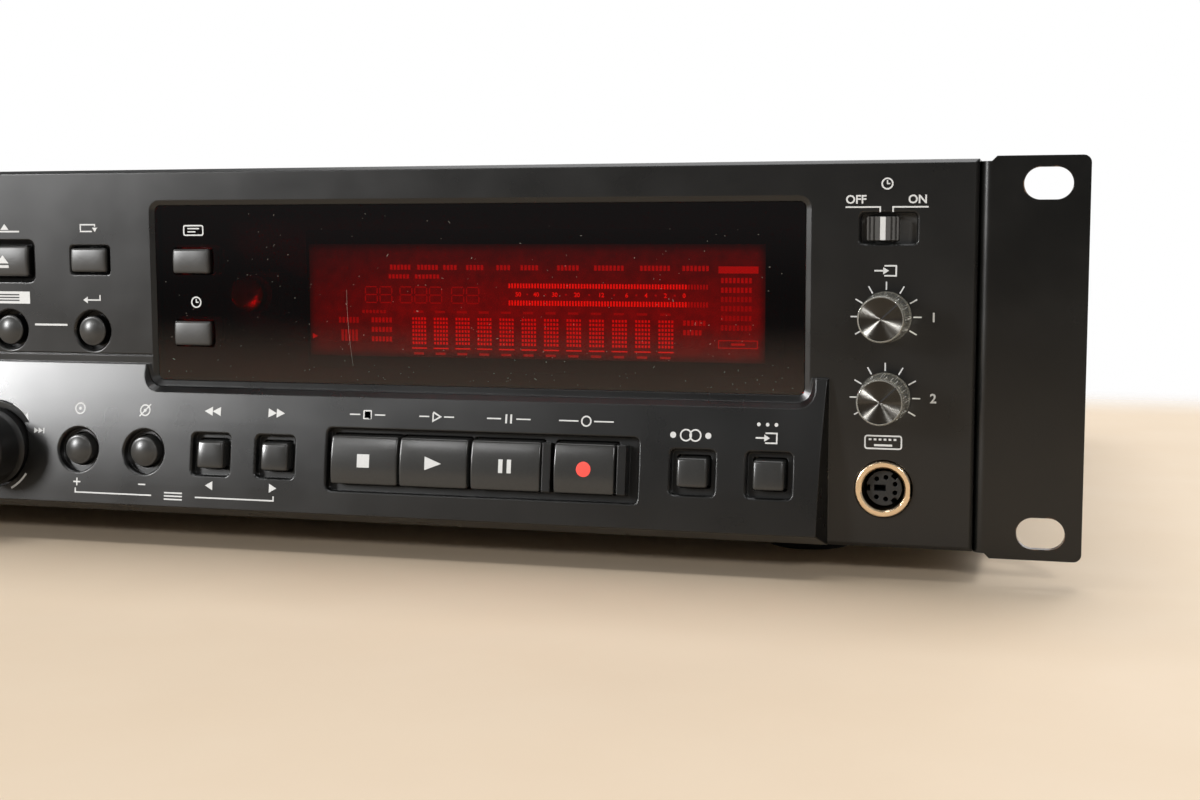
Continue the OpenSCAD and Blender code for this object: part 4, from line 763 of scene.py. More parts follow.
# Lit ground and segments of the display, from the brightest down
GROUND = GlowField("lit_display_ground", "#6a160e", "#c01c0c", (0.5, 0.5), 2.4, strength=2.1)
BRIGHT = Glow("bright_segments", "#ff3a1c", "#ff5a30", (0.5, 0.5), 1.0, strength=5.5)
MEDIUM = Glow("medium_segments", "#ff2a18", "#ff3c20", (0.5, 0.5), 1.0, strength=3.9)
WORDS = Glow("word_segments", "#ff2a18", "#ff3c20", (0.5, 0.5), 1.0, strength=2.3)
FAINT = Glow("faint_segments", "#ff2414", "#ff301a", (0.5, 0.5), 1.0, strength=1.75)
# Lighter moulding of the timer slider: plain grey
SLIDER_ABS = Finish("grey_slider_abs", "#3a3a39", "#454544", (0.35, 0.45), 0.4, 0.002, edge=0.1)
# Nickelled brass of the mains pins: a pale metal shine
BRASS = Finish("nickelled_pin_brass", "#a8a294", "#bdb7a8", (0.25, 0.4), 0.5, metallic=1.0)

SLOT_FINISH = {
    "case_paint": CASE_COAT, "zinc_steel": ZINC, "panel_plastic": PANEL_ABS, "window_acrylic": ACRYLIC,
    "ear_paint": EAR_COAT, "screw_steel": SCREW_STEEL, "foot_rubber": RUBBER, "board_laminate": LAMINATE,
    "part_plastic": PART_PLASTIC, "display_glass": TUBE_GLASS, "sensor_filter": SENSOR_RED,
    "nickel_plate": NICKEL_WARM_REFLECTION, "socket_plastic": SOCKET_NYLON, "jack_metal": JACK_GOLD, "ribbon_film": RIBBON,
    "loader_plastic": LOADER_ABS, "gear_plastic": ACETAL, "key_plastic": KEY_ABS, "dial_plastic": DIAL_ABS,
    "knob_metal": KNOB_SHELL}


def piece(name: str, skin: Skin, finish: Finish, body: str, replaces: str = "",
          crease: float = 38.0) -> None:
    """Make a piece of the object and let it ride on its body.

    Args:
        name: Name of the piece.
        skin: Its surface in panel millimetres.
        finish: Its finish.
        body: The CAD body that carries it.
        replaces: The CAD node that it stands for, if any.
        crease: Angle in degrees above which an edge stays sharp.
    """
    mesh = bpy.data.meshes.new(name)
    mesh.from_pydata(PANEL.row(skin.points).tolist(), [], skin.faces)
    mesh.polygons.foreach_set("use_smooth", np.ones(len(mesh.polygons), bool))
    mesh.set_sharp_from_angle(angle=math.radians(crease))
    mesh.materials.append(finish.material())
    made = bpy.data.objects.new(name, mesh)
    bpy.context.scene.collection.objects.link(made)
    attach(made, body)
    if replaces:
        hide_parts(replaces)
    LOG.info("%s: %d faces on %s", name, len(mesh.polygons), body)


# Sub-assemblies


@dataclass
class Studio:
    """Camera at the photograph's place, softboxes, a pale floor and a white surround."""

    camera_at: tuple[float, float, float] = (0.23759, -0.51130, 0.07866)
    camera_turn: tuple[float, float, float] = (84.11355, 0.14204, 15.73894)
    lens: float = 50.0
    sensor: float = 36.0
    near: float = 0.01
    # Each softbox: name, place, target, width, height, watts
    boxes: tuple = (
        ("left_window", (-0.916, -1.061, 0.44), (0.0, -0.139, 0.05), 0.3, 0.37, 24.5),
        ("right_lamp", (0.717, -1.248, 0.62), (0.2, -0.139, 0.05), 0.19, 0.19, 5.2),
        ("ceiling_lamp", (-0.395, -1.280, 0.636), (0.0, -0.139, 0.02), 0.12, 0.12, 0.95),
        ("overhead_softbox", (0.0, 0.3, 1.9), (0.0, 0.0, 0.05), 1.6, 1.6, 32.0),
        ("rear_softbox", (0.9, 1.5, 0.9), (0.0, 0.0, 0.05), 0.9, 0.9, 7.0))
    # Low lamps that leave the floor out, so that the front casts its soft shadow
    off_floor: tuple = ("left_window",)
    ambient: float = 0.16
    # In gloss the surround runs from dim in front to white behind, over these headings in y
    front_gloss: float = 0.14
    gloss_span: Pair = (-0.5, 0.9)
    # Gloss dims to a share of itself between these headings in z, downwards
    dim_share: float = 0.5
    dim_span: Pair = (-0.045, 0.01)
    floor_x: float = 2.0
    floor_cells: int = 8
    # Where the floor fades out in front and behind, each from clear to whole
    floor_front: Pair = (-1.15, -0.33)
    floor_behind: Pair = (0.33, 0.21)

    def build(self) -> None:
        """Set the camera, the lamps, the floor and the surround."""
        camera = bpy.data.objects.new("camera", bpy.data.cameras.new("camera"))
        camera.data.lens, camera.data.sensor_width, camera.data.clip_start = self.lens, self.sensor, self.near
        camera.location = self.camera_at
        camera.rotation_euler = [math.radians(turn) for turn in self.camera_turn]
        bpy.context.scene.collection.objects.link(camera)
        bpy.context.scene.camera = camera
        bpy.context.scene.view_settings.view_transform = "Standard"
        floor = self.floor()
        for name, place, target, width, height, watts in self.boxes:
            light = bpy.data.lights.new(name, "AREA")
            light.shape, light.size, light.size_y, light.energy = "RECTANGLE", width, height, watts
            lamp = bpy.data.objects.new(name, light)
            lamp.location = place
            lamp.rotation_euler = (Vector(target) - Vector(place)).to_track_quat("-Z", "Y").to_euler()
            lamp.visible_camera = False
            bpy.context.scene.collection.objects.link(lamp)
            if name in self.off_floor:
                spared = bpy.data.collections.new(name + "_spares")
                spared.objects.link(floor)
                lamp.light_linking.receiver_collection = spared
                spared.collection_objects[0].light_linking.link_state = "EXCLUDE"
        self.surround()

    def floor(self) -> bpy.types.Object:
        """Lay a pale table: a grid that fades out in front and behind, so that no hard edge shows.

        Returns:
            The floor.
        """
        n = self.floor_cells + 1
        x, y = np.meshgrid(np.linspace(-self.floor_x, self.floor_x, n),
                           np.linspace(self.floor_front[0], self.floor_behind[0], n))
        start = (np.arange(n - 1)[:, None] * n + np.arange(n - 1)).reshape(-1, 1)
        mesh = bpy.data.meshes.new("pale_floor")
        mesh.from_pydata(np.stack([x, y, 0 * x], -1).reshape(-1, 3).tolist(), [],
                         (start + [0, 1, n + 1, n]).tolist())
        mesh.materials.append(PaleFloor("pale_matt_floor", "#e6d0b4", "#ecd8be", (0.6, 0.7), 40.0,
                                        front=self.floor_front, behind=self.floor_behind).material())
        floor = bpy.data.objects.new("pale_floor", mesh)
        bpy.context.scene.collection.objects.link(floor)
        return floor

    def surround(self) -> None:
        """Light the surround: white to the camera, dim to matt faces, and for gloss dim in front only."""
        world = bpy.data.worlds.new("surround")
        bpy.context.scene.world = world
        world.use_nodes = True
        world.node_tree.nodes.clear()
        wires = Wiring(world.node_tree)
        path = add(wires.tree, "ShaderNodeLightPath").outputs
        ray = wires.axes(add(wires.tree, "ShaderNodeTexCoord").outputs["Generated"])
        gloss = wires.calc("MULTIPLY", wires.remap(ray[1], self.gloss_span, (self.front_gloss, 1.0)),
                           wires.remap(ray[2], self.dim_span, (self.dim_share, 1.0), "SMOOTHSTEP"))
        mirror = wires.calc("MAXIMUM", path["Is Glossy Ray"], path["Is Transmission Ray"])
        light = self.ambient
        for share, value in ((mirror, gloss), (path["Is Camera Ray"], 1.0)):
            light = wires.one("ShaderNodeMix", {0: share, 2: light, 3: value})
        sky = wires.one("ShaderNodeBackground", {"Color": (1, 1, 1, 1), "Strength": light})
        add(wires.tree, "ShaderNodeOutputWorld", {"Surface": sky})


class KeyStyle(Enum):
    """How a key's face runs: crowned on the flat panel, along the strip, or rounded in the recess."""

    FLAT = "flat"
    STRIP = "strip"
    DECK = "deck"


@dataclass
class Key:
    """A moulded key: stem, flange, wall, rounded edge and crowned face, in one closed skin."""

    node: str
    style: KeyStyle
    body: str
    flange_y: float
    edge: float = 0.55
    side_crown: float = 0.28
    flange: float = 1.0
    flange_t: float = 1.2
    corner: float = 0.6
    least_corner: float = 0.14
    least_half: float = 0.3
    stem: float = 1.8
    # Crowns: a radius on the flat panel, a height on the strip, a radius and a rise in the recess
    flat_radius: float = 16.0
    strip_crown: float = 0.2
    deck_radius: float = 26.0
    deck_out: float = 0.9
    insets: tuple = (0.0, 0.04, 0.12, 0.24, 0.4, 0.55, 0.9, 1.4, 2.0, 2.7, 3.4, 4.1, 4.8)
    low: np.ndarray = field(init=False)
    high: np.ndarray = field(init=False)

    def __post_init__(self) -> None:
        """Take the key's place and cap size from its CAD node, which is as wide as its flange."""
        grow = np.array([0.0 if self.style is KeyStyle.DECK else self.flange, 0.0, self.flange])
        self.low, self.high = PANEL.span(self.node) + [grow, -grow]

    @property
    def middle(self) -> np.ndarray:
        """Middle of the cap."""
        return (self.low + self.high) / 2

    def face(self, x: np.ndarray, z: np.ndarray) -> np.ndarray:
        """Crown the face, which falls with the square of height and the fourth power across.

        On the strip it follows the strip's circle, and in the recess a circle of its own that leans with it.

        Args:
            x: Places across.
            z: Places up.

        Returns:
            The depths there.
        """
        half = (self.high - self.low) / 2
        off_x, off_z = (x - self.middle[0]) / half[0], (z - self.middle[2]) / half[2]
        sides = self.side_crown * off_x ** 4
        if self.style is KeyStyle.FLAT:
            return self.low[1] + half[2] ** 2 / (2 * self.flat_radius) * off_z ** 2 + sides
        if self.style is KeyStyle.STRIP:
            lift = PANEL.strip(0.0, self.low[2]) - self.low[1]
            return PANEL.strip(x, z) - lift + self.strip_crown * off_z ** 2 + sides
        row = PANEL.strip(0.0, self.middle[2])
        lean = math.asin((self.middle[2] - PANEL.strip_middle()[1]) / PANEL.strip_radius)
        arm = self.deck_radius - self.deck_out
        across = z - (self.middle[2] - arm * math.sin(lean))
        return row + arm * math.cos(lean) - np.sqrt(self.deck_radius ** 2 - across ** 2) + 0.5 * sides

    def build(self) -> None:
        """Loft the key from its stem to its face.

        An edge of radius e drops the face by e - sqrt(e^2 - (e - t)^2) at t in from the wall.
        """
        width, _, height = self.high - self.low
        at, back, under = self.middle[[0, 2]], self.high[1], self.flange_y + self.flange_t
        flange_in = 0.0 if self.style is KeyStyle.DECK else self.flange
        wide = rounded(width + 2 * flange_in, height + 2 * self.flange, self.corner)
        cap, stem = rounded(width, height, self.corner), round_like(self.stem)
        levels = ((stem, back), (stem, under), (wide, under), (wide, self.flange_y), (cap, self.flange_y))
        rings = [at_depth(loop + at, y) for loop, y in levels]
        for t in self.insets:
            if t > min(width, height) / 2 - self.least_half:
                break
            loop = rounded(width - 2 * t, height - 2 * t, max(self.corner - t, self.least_corner)) + at
            drop = self.edge - math.sqrt(self.edge ** 2 - max(self.edge - t, 0.0) ** 2)
            rings.append(at_depth(loop, self.face(*loop.T) + drop))
        poles = [np.array([at[0], y, at[1]]) for y in (back, self.face(*at))]
        finish = KEY_ABS if self.style is KeyStyle.FLAT else BUTTON_ABS
        piece(self.node + "_cap", loft(np.stack(rings), *poles), finish, self.body, self.node)


@dataclass
class DomeButton:
    """A round button: stem, flange, wall and a ball-shaped face with a rounded edge."""

    node: str
    flange_y: float
    radius: float = 3.8
    ball: float = 6.5
    edge: float = 0.5
    flange_radius: float = 5.55
    flange_t: float = 1.2
    stem: float = 1.8

    def build(self) -> None:
        """Turn the button's profile; its face is a ball, y = front + ball - sqrt(ball^2 - r^2)."""
        seat = PANEL.seat(self.node)
        inner, under = self.radius - self.edge, self.flange_y + self.flange_t
        r = np.linspace(0, inner, 14)[::-1]
        face = np.stack([r, seat.front + self.ball - np.sqrt(self.ball ** 2 - r ** 2)], -1)
        profile = np.concatenate([[[0, seat.back], [self.stem, seat.back], [self.stem, under],
                                   [self.flange_radius, under], [self.flange_radius, self.flange_y],
                                   [self.radius, self.flange_y]],
                                  rounded_edge(inner, face[0, 1], self.edge, 6)[:-1], face])
        piece(self.node + "_cap", lathe(profile, seat.at), DOME_ABS, "body_" + self.node, self.node)


@dataclass
class JogDial:
    """The large dial: a skirt with a stepped cap, a rounded edge and a shallow dish in its face."""

    sunk: float = 1.9
    skirt_h: float = 3.4
    step_h: float = 4.3
    cap_in: float = 0.9
    edge: float = 1.6
    chamfer: float = 0.3
    dish: float = 0.25
    shaft: float = 3.0

    def build(self) -> None:
        """Turn the dial's profile, with its dish as y = front + depth (1 - (r / edge)^2)."""
        seat, c = PANEL.seat("jog_dial"), self.chamfer
        radius, cap = seat.radius, seat.radius - self.cap_in
        base = PANEL.strip(0.0, seat.at[1]) + self.sunk
        skirt, step, inner = base - self.skirt_h, base - self.step_h, cap - self.edge
        r = np.linspace(0, inner, 16)[-2::-1]
        dish = np.stack([r, seat.front + self.dish * (1 - (r / inner) ** 2)], -1)
        profile = np.concatenate([[[0, seat.back], [self.shaft, seat.back], [self.shaft, base],
                                   [radius - c, base], [radius, base - c], [radius, skirt + c],
                                   [radius - c, skirt], [cap + 0.1, step + 0.2], [cap, step - 0.2]],
                                  rounded_edge(inner, seat.front, self.edge, 9), dish])
        piece("jog_dial_cap", lathe(profile, seat.at, 128), DIAL_ABS, "jog", "jog_dial")


@dataclass
class LevelKnob:
    """A small turned knob: fluted shell, ridged face and a pointer line."""

    node: str
    base: float = -0.6
    flutes: int = 40
    flute_depth: float = 0.14
    lip: float = 0.4
    shaft: float = 3.0
    taper: float = 0.6
    ridge_pitch: float = 0.16
    ridge_tilt: float = 20.3
    ridge_share: float = 0.585
    pointer_turn: float = 47.0
    pointer_w: float = 0.34
    pointer_from: float = 0.25
    pointer_end: float = 0.3
    # The pointer's bed behind the rim, how far it stands out of that, and how far its back is sunk
    pointer_y: tuple[float, float, float] = (0.03, 0.06, 0.05)
    # Depths behind the rim: the shell's floor, the middle of the ridges and the back of the face
    floor_y: float = 0.3
    ridge_y: float = 0.08
    face_back: float = 0.35

    def build(self) -> None:
        """Turn the shell and its face, and lay the pointer line on it."""
        seat, body = PANEL.seat(self.node), "body_" + self.node
        rim = seat.radius - self.taper
        self.shell(seat, rim, body)
        self.turned_face(seat, rim - self.lip, body)
        spin = heading(np.radians([90 - self.pointer_turn, 180 - self.pointer_turn]))
        (x0, x1), w = (self.pointer_from, rim - self.pointer_end), self.pointer_w / 2
        corners = np.array([[x0, -w], [x1, -w], [x1, w], [x0, w]]) @ spin + seat.at
        bed, thick, sunk = self.pointer_y
        piece(self.node + "_pointer", prism(corners, level(seat.front + bed), thick, sunk), BLACK_INK, body)

    def shell(self, seat: Seat, rim: float, body: str) -> None:
        """Turn the shell; its flutes take depth (1 + cos(n a)) / 2 off the radius between base and lip.

        Args:
            seat: Place of the knob.
            rim: Radius at the front.
            body: The body that carries it.
        """
        around, rows, floor = self.flutes * 8, 8, seat.front + self.floor_y
        wall = np.linspace(0, 1, rows)
        side = np.stack([seat.radius + (rim - seat.radius) * wall,
                         self.base + (seat.front + self.lip - self.base) * wall], -1)
        profile = np.concatenate([[[0, seat.back], [self.shaft, seat.back], [self.shaft, self.base]], side,
                                  rounded_edge(rim - self.lip, seat.front, self.lip, 6)[1:],
                                  [[rim - self.lip - 0.05, floor], [0, floor]]])
        depth = np.zeros((len(profile) - 2, 1))
        depth[3:1 + rows] = self.flute_depth
        angle = np.linspace(0, 4 * QUARTER, around, endpoint=False)
        swell = -depth * (1 + np.cos(self.flutes * angle)) / 2
        piece(self.node + "_shell", lathe(profile, seat.at, around, swell), KNOB_SHELL, body, self.node)

    def turned_face(self, seat: Seat, radius: float, body: str) -> None:
        """Turn the face with ridges like saw teeth, y = h / 2 at each foot and -h / 2 at each crest.

        The share of the pitch that faces in lies at the ridge tilt, so h = share pitch tan(tilt). Real
        turning marks are finer; these are as coarse as they need to be to show.

        Args:
            seat: Place of the knob.
            radius: Radius of the face.
            body: The body that carries it.
        """
        height = math.tan(math.radians(self.ridge_tilt)) * self.ridge_share * self.ridge_pitch
        crest = np.arange(radius, self.ridge_pitch, -self.ridge_pitch)
        r = np.stack([crest, crest - self.ridge_share * self.ridge_pitch], -1).ravel()
        y = seat.front + self.ridge_y + np.tile([-height / 2, height / 2], len(crest))
        ridges, back = np.stack([r, y], -1), seat.front + self.face_back
        profile = np.concatenate([[[0, back], [radius, back]], ridges, [[0, ridges[-1, 1]]]])
        piece(self.node + "_face", lathe(profile, seat.at, 96), KNOB_FACE, body, "", crease=12)


@dataclass
class TimerSwitch:
    """The slide switch: the CAD slider with a white line down its middle."""

    line: Pair = (1.2, 5.1)

    def build(self) -> None:
        """Lay the white line on the slider's face."""
        seat = PANEL.seat("timer_slider")
        outline = rounded(*self.line, 0.1, 3, 1) + seat.at
        piece("timer_line", prism(outline, level(seat.front)), WHITE_INK, "timer")


@dataclass
class KeyboardSocket:
    """The keyboard socket: a nickel ring with a flat, and its black insert and body from the CAD node."""

    outer: float = 6.3
    bore: float = 4.8
    flat: float = 5.95
    out: float = 1.0
    back: float = 12.0
    chamfer: float = 0.3
    split: float = 4.3

    def build(self) -> None:
        """Turn the ring's section with its chamfers, cut its flat and copy the insert."""
        at, front, back = PANEL.seat("keyboard_socket").at, -self.out, self.back - 0.02
        section = np.array([[self.outer, back], [self.outer, front + 0.35], [self.outer - 0.1, front + 0.12],
                            [self.outer - 0.3, front], [self.bore + self.chamfer, front],
                            [self.bore + 0.12, front + 0.2], [self.bore, front + self.chamfer],
                            [self.bore, back]])
        ring = loft(turned(section, at, 96))
        ring.points[:, 0] = np.minimum(ring.points[:, 0], at[0] + self.flat)
        piece("keyboard_socket_ring", ring, NICKEL_WARM_REFLECTION, "case", "", crease=28)
        # The insert and the body are told from the ring by their place
        spots, faces = triangles(frame["nodes"]["keyboard_socket"].data, 1000, PANEL.origin, 4)
        keep = (np.hypot(*(spots[:, [0, 2]] - at).T) < self.split) | (spots[:, 1] > self.back - 0.1)
        used, packed = np.unique(faces[keep[faces].all(1)], return_inverse=True)
        insert = Skin(spots[used], packed.reshape(-1, 3).tolist())
        piece("keyboard_socket_insert", insert, SOCKET_NYLON, "case", "keyboard_socket")


@dataclass
class DisplayUnit:
    """The display behind the window: lit ground, segments, sensor bowl, and dust on the window itself.

    Places were read at the panel face and are carried back to the tube along the camera's line through it.
    """

    camera: tuple[float, float, float] = (237.59, -372.30, 28.71)
    apparent_depth: float = 4.2
    lit: tuple[float, float, float, float] = (58.8, 171.2, -2.0, 25.0)
    ground_t: float = 0.08
    bar_x: Pair = (110.0, 158.0)
    bar_w: float = 0.38
    bar_pitch: float = 0.71
    bar_rows: tuple = ((14.7, 15.8), (10.6, 11.8))
    scale_x: tuple = ((50, 112.4), (40, 116.8), (30, 121.4), (20, 126.8), (12, 132.8), (6, 138.8), (4, 143.4),
                      (2, 148.0), (0, 152.4))
    scale_z: float = 13.25
    # Blocks of five by seven dots over a line
    block_x: float = 85.4
    block_pitch: float = 5.53
    block_w: float = 3.8
    block_count: int = 12
    dot_pitch: Pair = (0.76, 0.97)
    dot_x: Pair = (0.14, 0.6)
    dot_z: Pair = (1.1, 1.7)
    line_z: Pair = (0.0, 0.3)
    # Faint words over and under each block
    note_x: Pair = (0.5, 3.0)
    note_z: tuple = ((8.6, 9.15), (-1.4, -0.85))
    # Lit word places and faint ones, as rows of x0, x1, z0, z1, and the ticks that fill them
    words: tuple = (
        *((a, b, 18.9, 20.1) for a, b in ((80, 86), (87, 92.4), (93.6, 97), (99.4, 104.4), (107, 110.6),
                                          (113, 118), (122, 127.4), (131, 138), (142, 149), (152, 158.4))),
        (79.6, 85.4, 16.8, 17.8), (86.4, 93, 16.8, 17.8), (161, 168.8, 16.2, 17.4), (161, 168.8, 14.0, 15.2),
        (152.2, 157.6, 6.4, 7.6), (152.2, 157.2, 4.2, 5.4), (75, 80.4, 6.2, 7.4), (75, 80.4, 3.9, 5.1),
        (75, 80.4, 1.6, 2.8))
    faint_words: tuple = (
        (161, 168.8, 11.9, 13.1), (161, 168.8, 9.8, 11.0), (161, 168.8, 7.6, 8.8), (161, 168.8, 5.4, 6.6),
        (66.4, 72, 6.0, 7.4), (67, 72, 1.6, 4.4), (72.6, 79, 8.4, 9.2))
    tick_w: float = 0.62
    tick_pitch: float = 0.92
    # The frame of the right column and the field above it
    frame_box: tuple = ((160.4, 169.6, 3.0, 3.2), (160.4, 169.6, 1.3, 1.5), (160.4, 160.6, 1.3, 3.2),
                        (169.4, 169.6, 1.3, 3.2), (163.4, 166.6, 2.0, 2.5), (160.4, 169.6, 18.4, 20.0))
    digit_x: tuple = (73.6, 77.4, 82.6, 86.4, 90.2, 95.8, 99.6)
    digit_z: tuple[float, float, float] = (11.0, 12.9, 14.8)
    digit_w: float = 2.8
    digit_t: float = 0.26
    # Sensor: place of the bowl left of the sensor's middle, then radii of rim, floor, wall and bead
    bowl_left: float = 1.6
    bowl: tuple[float, float, float, float] = (4.3, 1.2, 6.0, 0.7)
    bead_h: float = 0.5
    # Dust: seed, number, room left and right, room at the foot and the top, and how it thins out upwards
    seed: int = 7
    specks: int = 240
    dust_x: float = 4.0
    dust_z: Pair = (3.0, 4.0)
    dust_power: float = 1.7

    def carried(self, flat: np.ndarray) -> np.ndarray:
        """Carry rows of x0, x1, z0, z1 from the panel face to the tube."""
        middle = np.array(self.camera)[[0, 0, 2, 2]]
        return middle + (flat - middle) * (1 + self.apparent_depth / -self.camera[1])

    def plates(self, name: str, rows: list, finish: Finish, lift: float = 0.08, thick: float = 0.04) -> None:
        """Lay thin blocks on the tube's face.

        Args:
            name: Name of the piece.
            rows: Rows of x0, x1, z0, z1 at the panel face.
            finish: Their finish.
            lift: How far their backs lie in front of the tube.
            thick: Their thickness.
        """
        front = PANEL.seat("display_tube").front - lift
        flat = self.carried(np.array(rows, float))
        depth = np.tile([front - thick, front], (len(flat), 1))
        piece(name, slabs(np.column_stack([flat[:, :2], depth, flat[:, 2:]])), finish, "case")

    def build(self) -> None:
        """Build the lit ground, the segments by their brightness, the bowl and the dust."""
        self.plates("display_ground", [self.lit], GROUND, 0.0, self.ground_t)
        bars = [(x, x + self.bar_w, *row) for row in self.bar_rows
                for x in np.arange(*self.bar_x, self.bar_pitch)]
        split = self.scale_x[-1][1] + self.bar_w
        blocks = self.block_x + np.arange(self.block_count) * self.block_pitch
        (dx, dz), (x0, x1), (z0, z1) = self.dot_pitch, self.dot_x, self.dot_z
        dots = [(x + i * dx + x0, x + i * dx + x1, z0 + j * dz, z1 + j * dz)
                for x in blocks for i in range(5) for j in range(7)]
        lines = [(x, x + self.block_w, *self.line_z) for x in blocks]
        # A small arrow head at the left, as four bars that grow shorter
        arrow = [(59.4 + 0.3 * i, 59.7 + 0.3 * i, 2.1 + 0.15 * i, 3.3 - 0.15 * i) for i in range(4)]
        notes = [(x + self.note_x[0], x + self.note_x[1], *row) for x in blocks for row in self.note_z]
        self.plates("display_bars", [bar for bar in bars if bar[0] < split], BRIGHT, thick=0.05)
        self.plates("display_dots", dots + lines, MEDIUM)
        self.plates("display_words", [*self.ticks(self.words), *self.frame_box, *arrow,
                                      *(bar for bar in bars if bar[0] >= split)], WORDS)
        self.plates("display_digits", [*self.digits(), *self.ticks(self.faint_words), *notes], FAINT)
        self.numbers()
        self.sensor_bowl()
        self.dust()

    def ticks(self, rows: tuple) -> list:
        """Fill word places with rows of plain ticks."""
        return [(x, x + self.tick_w, low, high) for a, b, low, high in rows
                for x in np.arange(a, b - 0.5, self.tick_pitch)]

    def digits(self) -> list:
        """Lay out unlit seven-segment digits: three bars across and two pairs up, for each digit.

        Returns:
            Rows of x0, x1, z0, z1.
        """
        wide, t = self.digit_w, self.digit_t
        rows = []
        for x in self.digit_x:
            rows += [(x, x + wide, z - t / 2, z + t / 2) for z in self.digit_z]
            rows += [(a, a + t, b + t, c - t) for a in (x - t, x + wide)
                     for b, c in zip(self.digit_z, self.digit_z[1:])]
        return rows

    def numbers(self) -> None:
        """Set the plain numbers of the level scale between the two bar graphs, with dots between them."""
        ground, z = level(PANEL.seat("display_tube").front - self.ground_t), self.scale_z
        skins = [lettering(str(value), 1.05, self.carried(np.array([x, x, z, z]))[[0, 2]], ground, 0.03)
                 for value, x in self.scale_x]
        piece("display_numbers", join(skins), BRIGHT, "case")
        middles = [(a + b) / 2 for (_, a), (_, b) in zip(self.scale_x, self.scale_x[1:])]
        self.plates("display_scale_dots", [(x - 0.22, x + 0.22, z - 0.2, z + 0.2) for x in middles], WORDS)

    def sensor_bowl(self) -> None:
        """Turn the sensor's bowl: a flat floor, a wall that rises as a quarter circle and a bead.

        The wall is y = floor - round + sqrt(round^2 - (r - flat)^2) past the flat, and its far side catches
        the key light as a crescent; the bead is y = floor - high (1 - (r / bead)^2).
        """
        seat = PANEL.seat("remote_sensor")
        (rim, flat, wall, bead), floor = self.bowl, seat.front - 0.1
        r = np.concatenate([np.linspace(rim, flat, 16), np.linspace(flat, bead, 5)[1:],
                            np.linspace(bead, 0, 6)[1:]])
        rise = wall - np.sqrt(wall ** 2 - np.maximum(r - flat, 0) ** 2)
        dish = np.stack([r, floor - rise - self.bead_h * np.maximum(1 - (r / bead) ** 2, 0)], -1)
        profile = np.concatenate([[[0, floor + 0.08], [rim, floor + 0.08]], dish])
        piece("sensor_bowl", lathe(profile, seat.at - [self.bowl_left, 0], 64), REFLECTOR, "case", "")

    def dust(self) -> None:
        """Scatter seeded specks and short hairs over the window, and lay its one fine scratch."""
        rng, n = np.random.default_rng(self.seed), self.specks
        low, high = PANEL.span("display_window")
        foot, top = low[2] + self.dust_z[0], high[2] - self.dust_z[1]
        x = rng.uniform(low[0] + self.dust_x, high[0] - self.dust_x, n)
        z = foot + (top - foot) * rng.uniform(0, 1, n) ** self.dust_power
        turn = rng.uniform(0, np.pi, n)
        long = 0.05 + rng.gamma(1.2, 0.05, n)
        wide = rng.uniform(0.03, 0.07, n)
        along, across = heading(turn) * long[:, None], heading(turn + QUARTER) * wide[:, None]
        corners = np.stack([-along - across, along - across, along + across, across - along], 1)
        skins = [prism(outline, GLASS, 0.015, 0.01) for outline in corners + np.stack([x, z], -1)[:, None]]
        scratch, up = Ink(), np.linspace(0, 1, 9)
        scratch.stroke(np.stack([68.6 + 1.4 * up ** 2, 14.0 - 18.5 * up], -1), 0.045)
        skins += [prism(shape, GLASS, 0.012, 0.01) for shape in scratch.shapes]
        piece("window_dust", join(skins), DUST, "case")


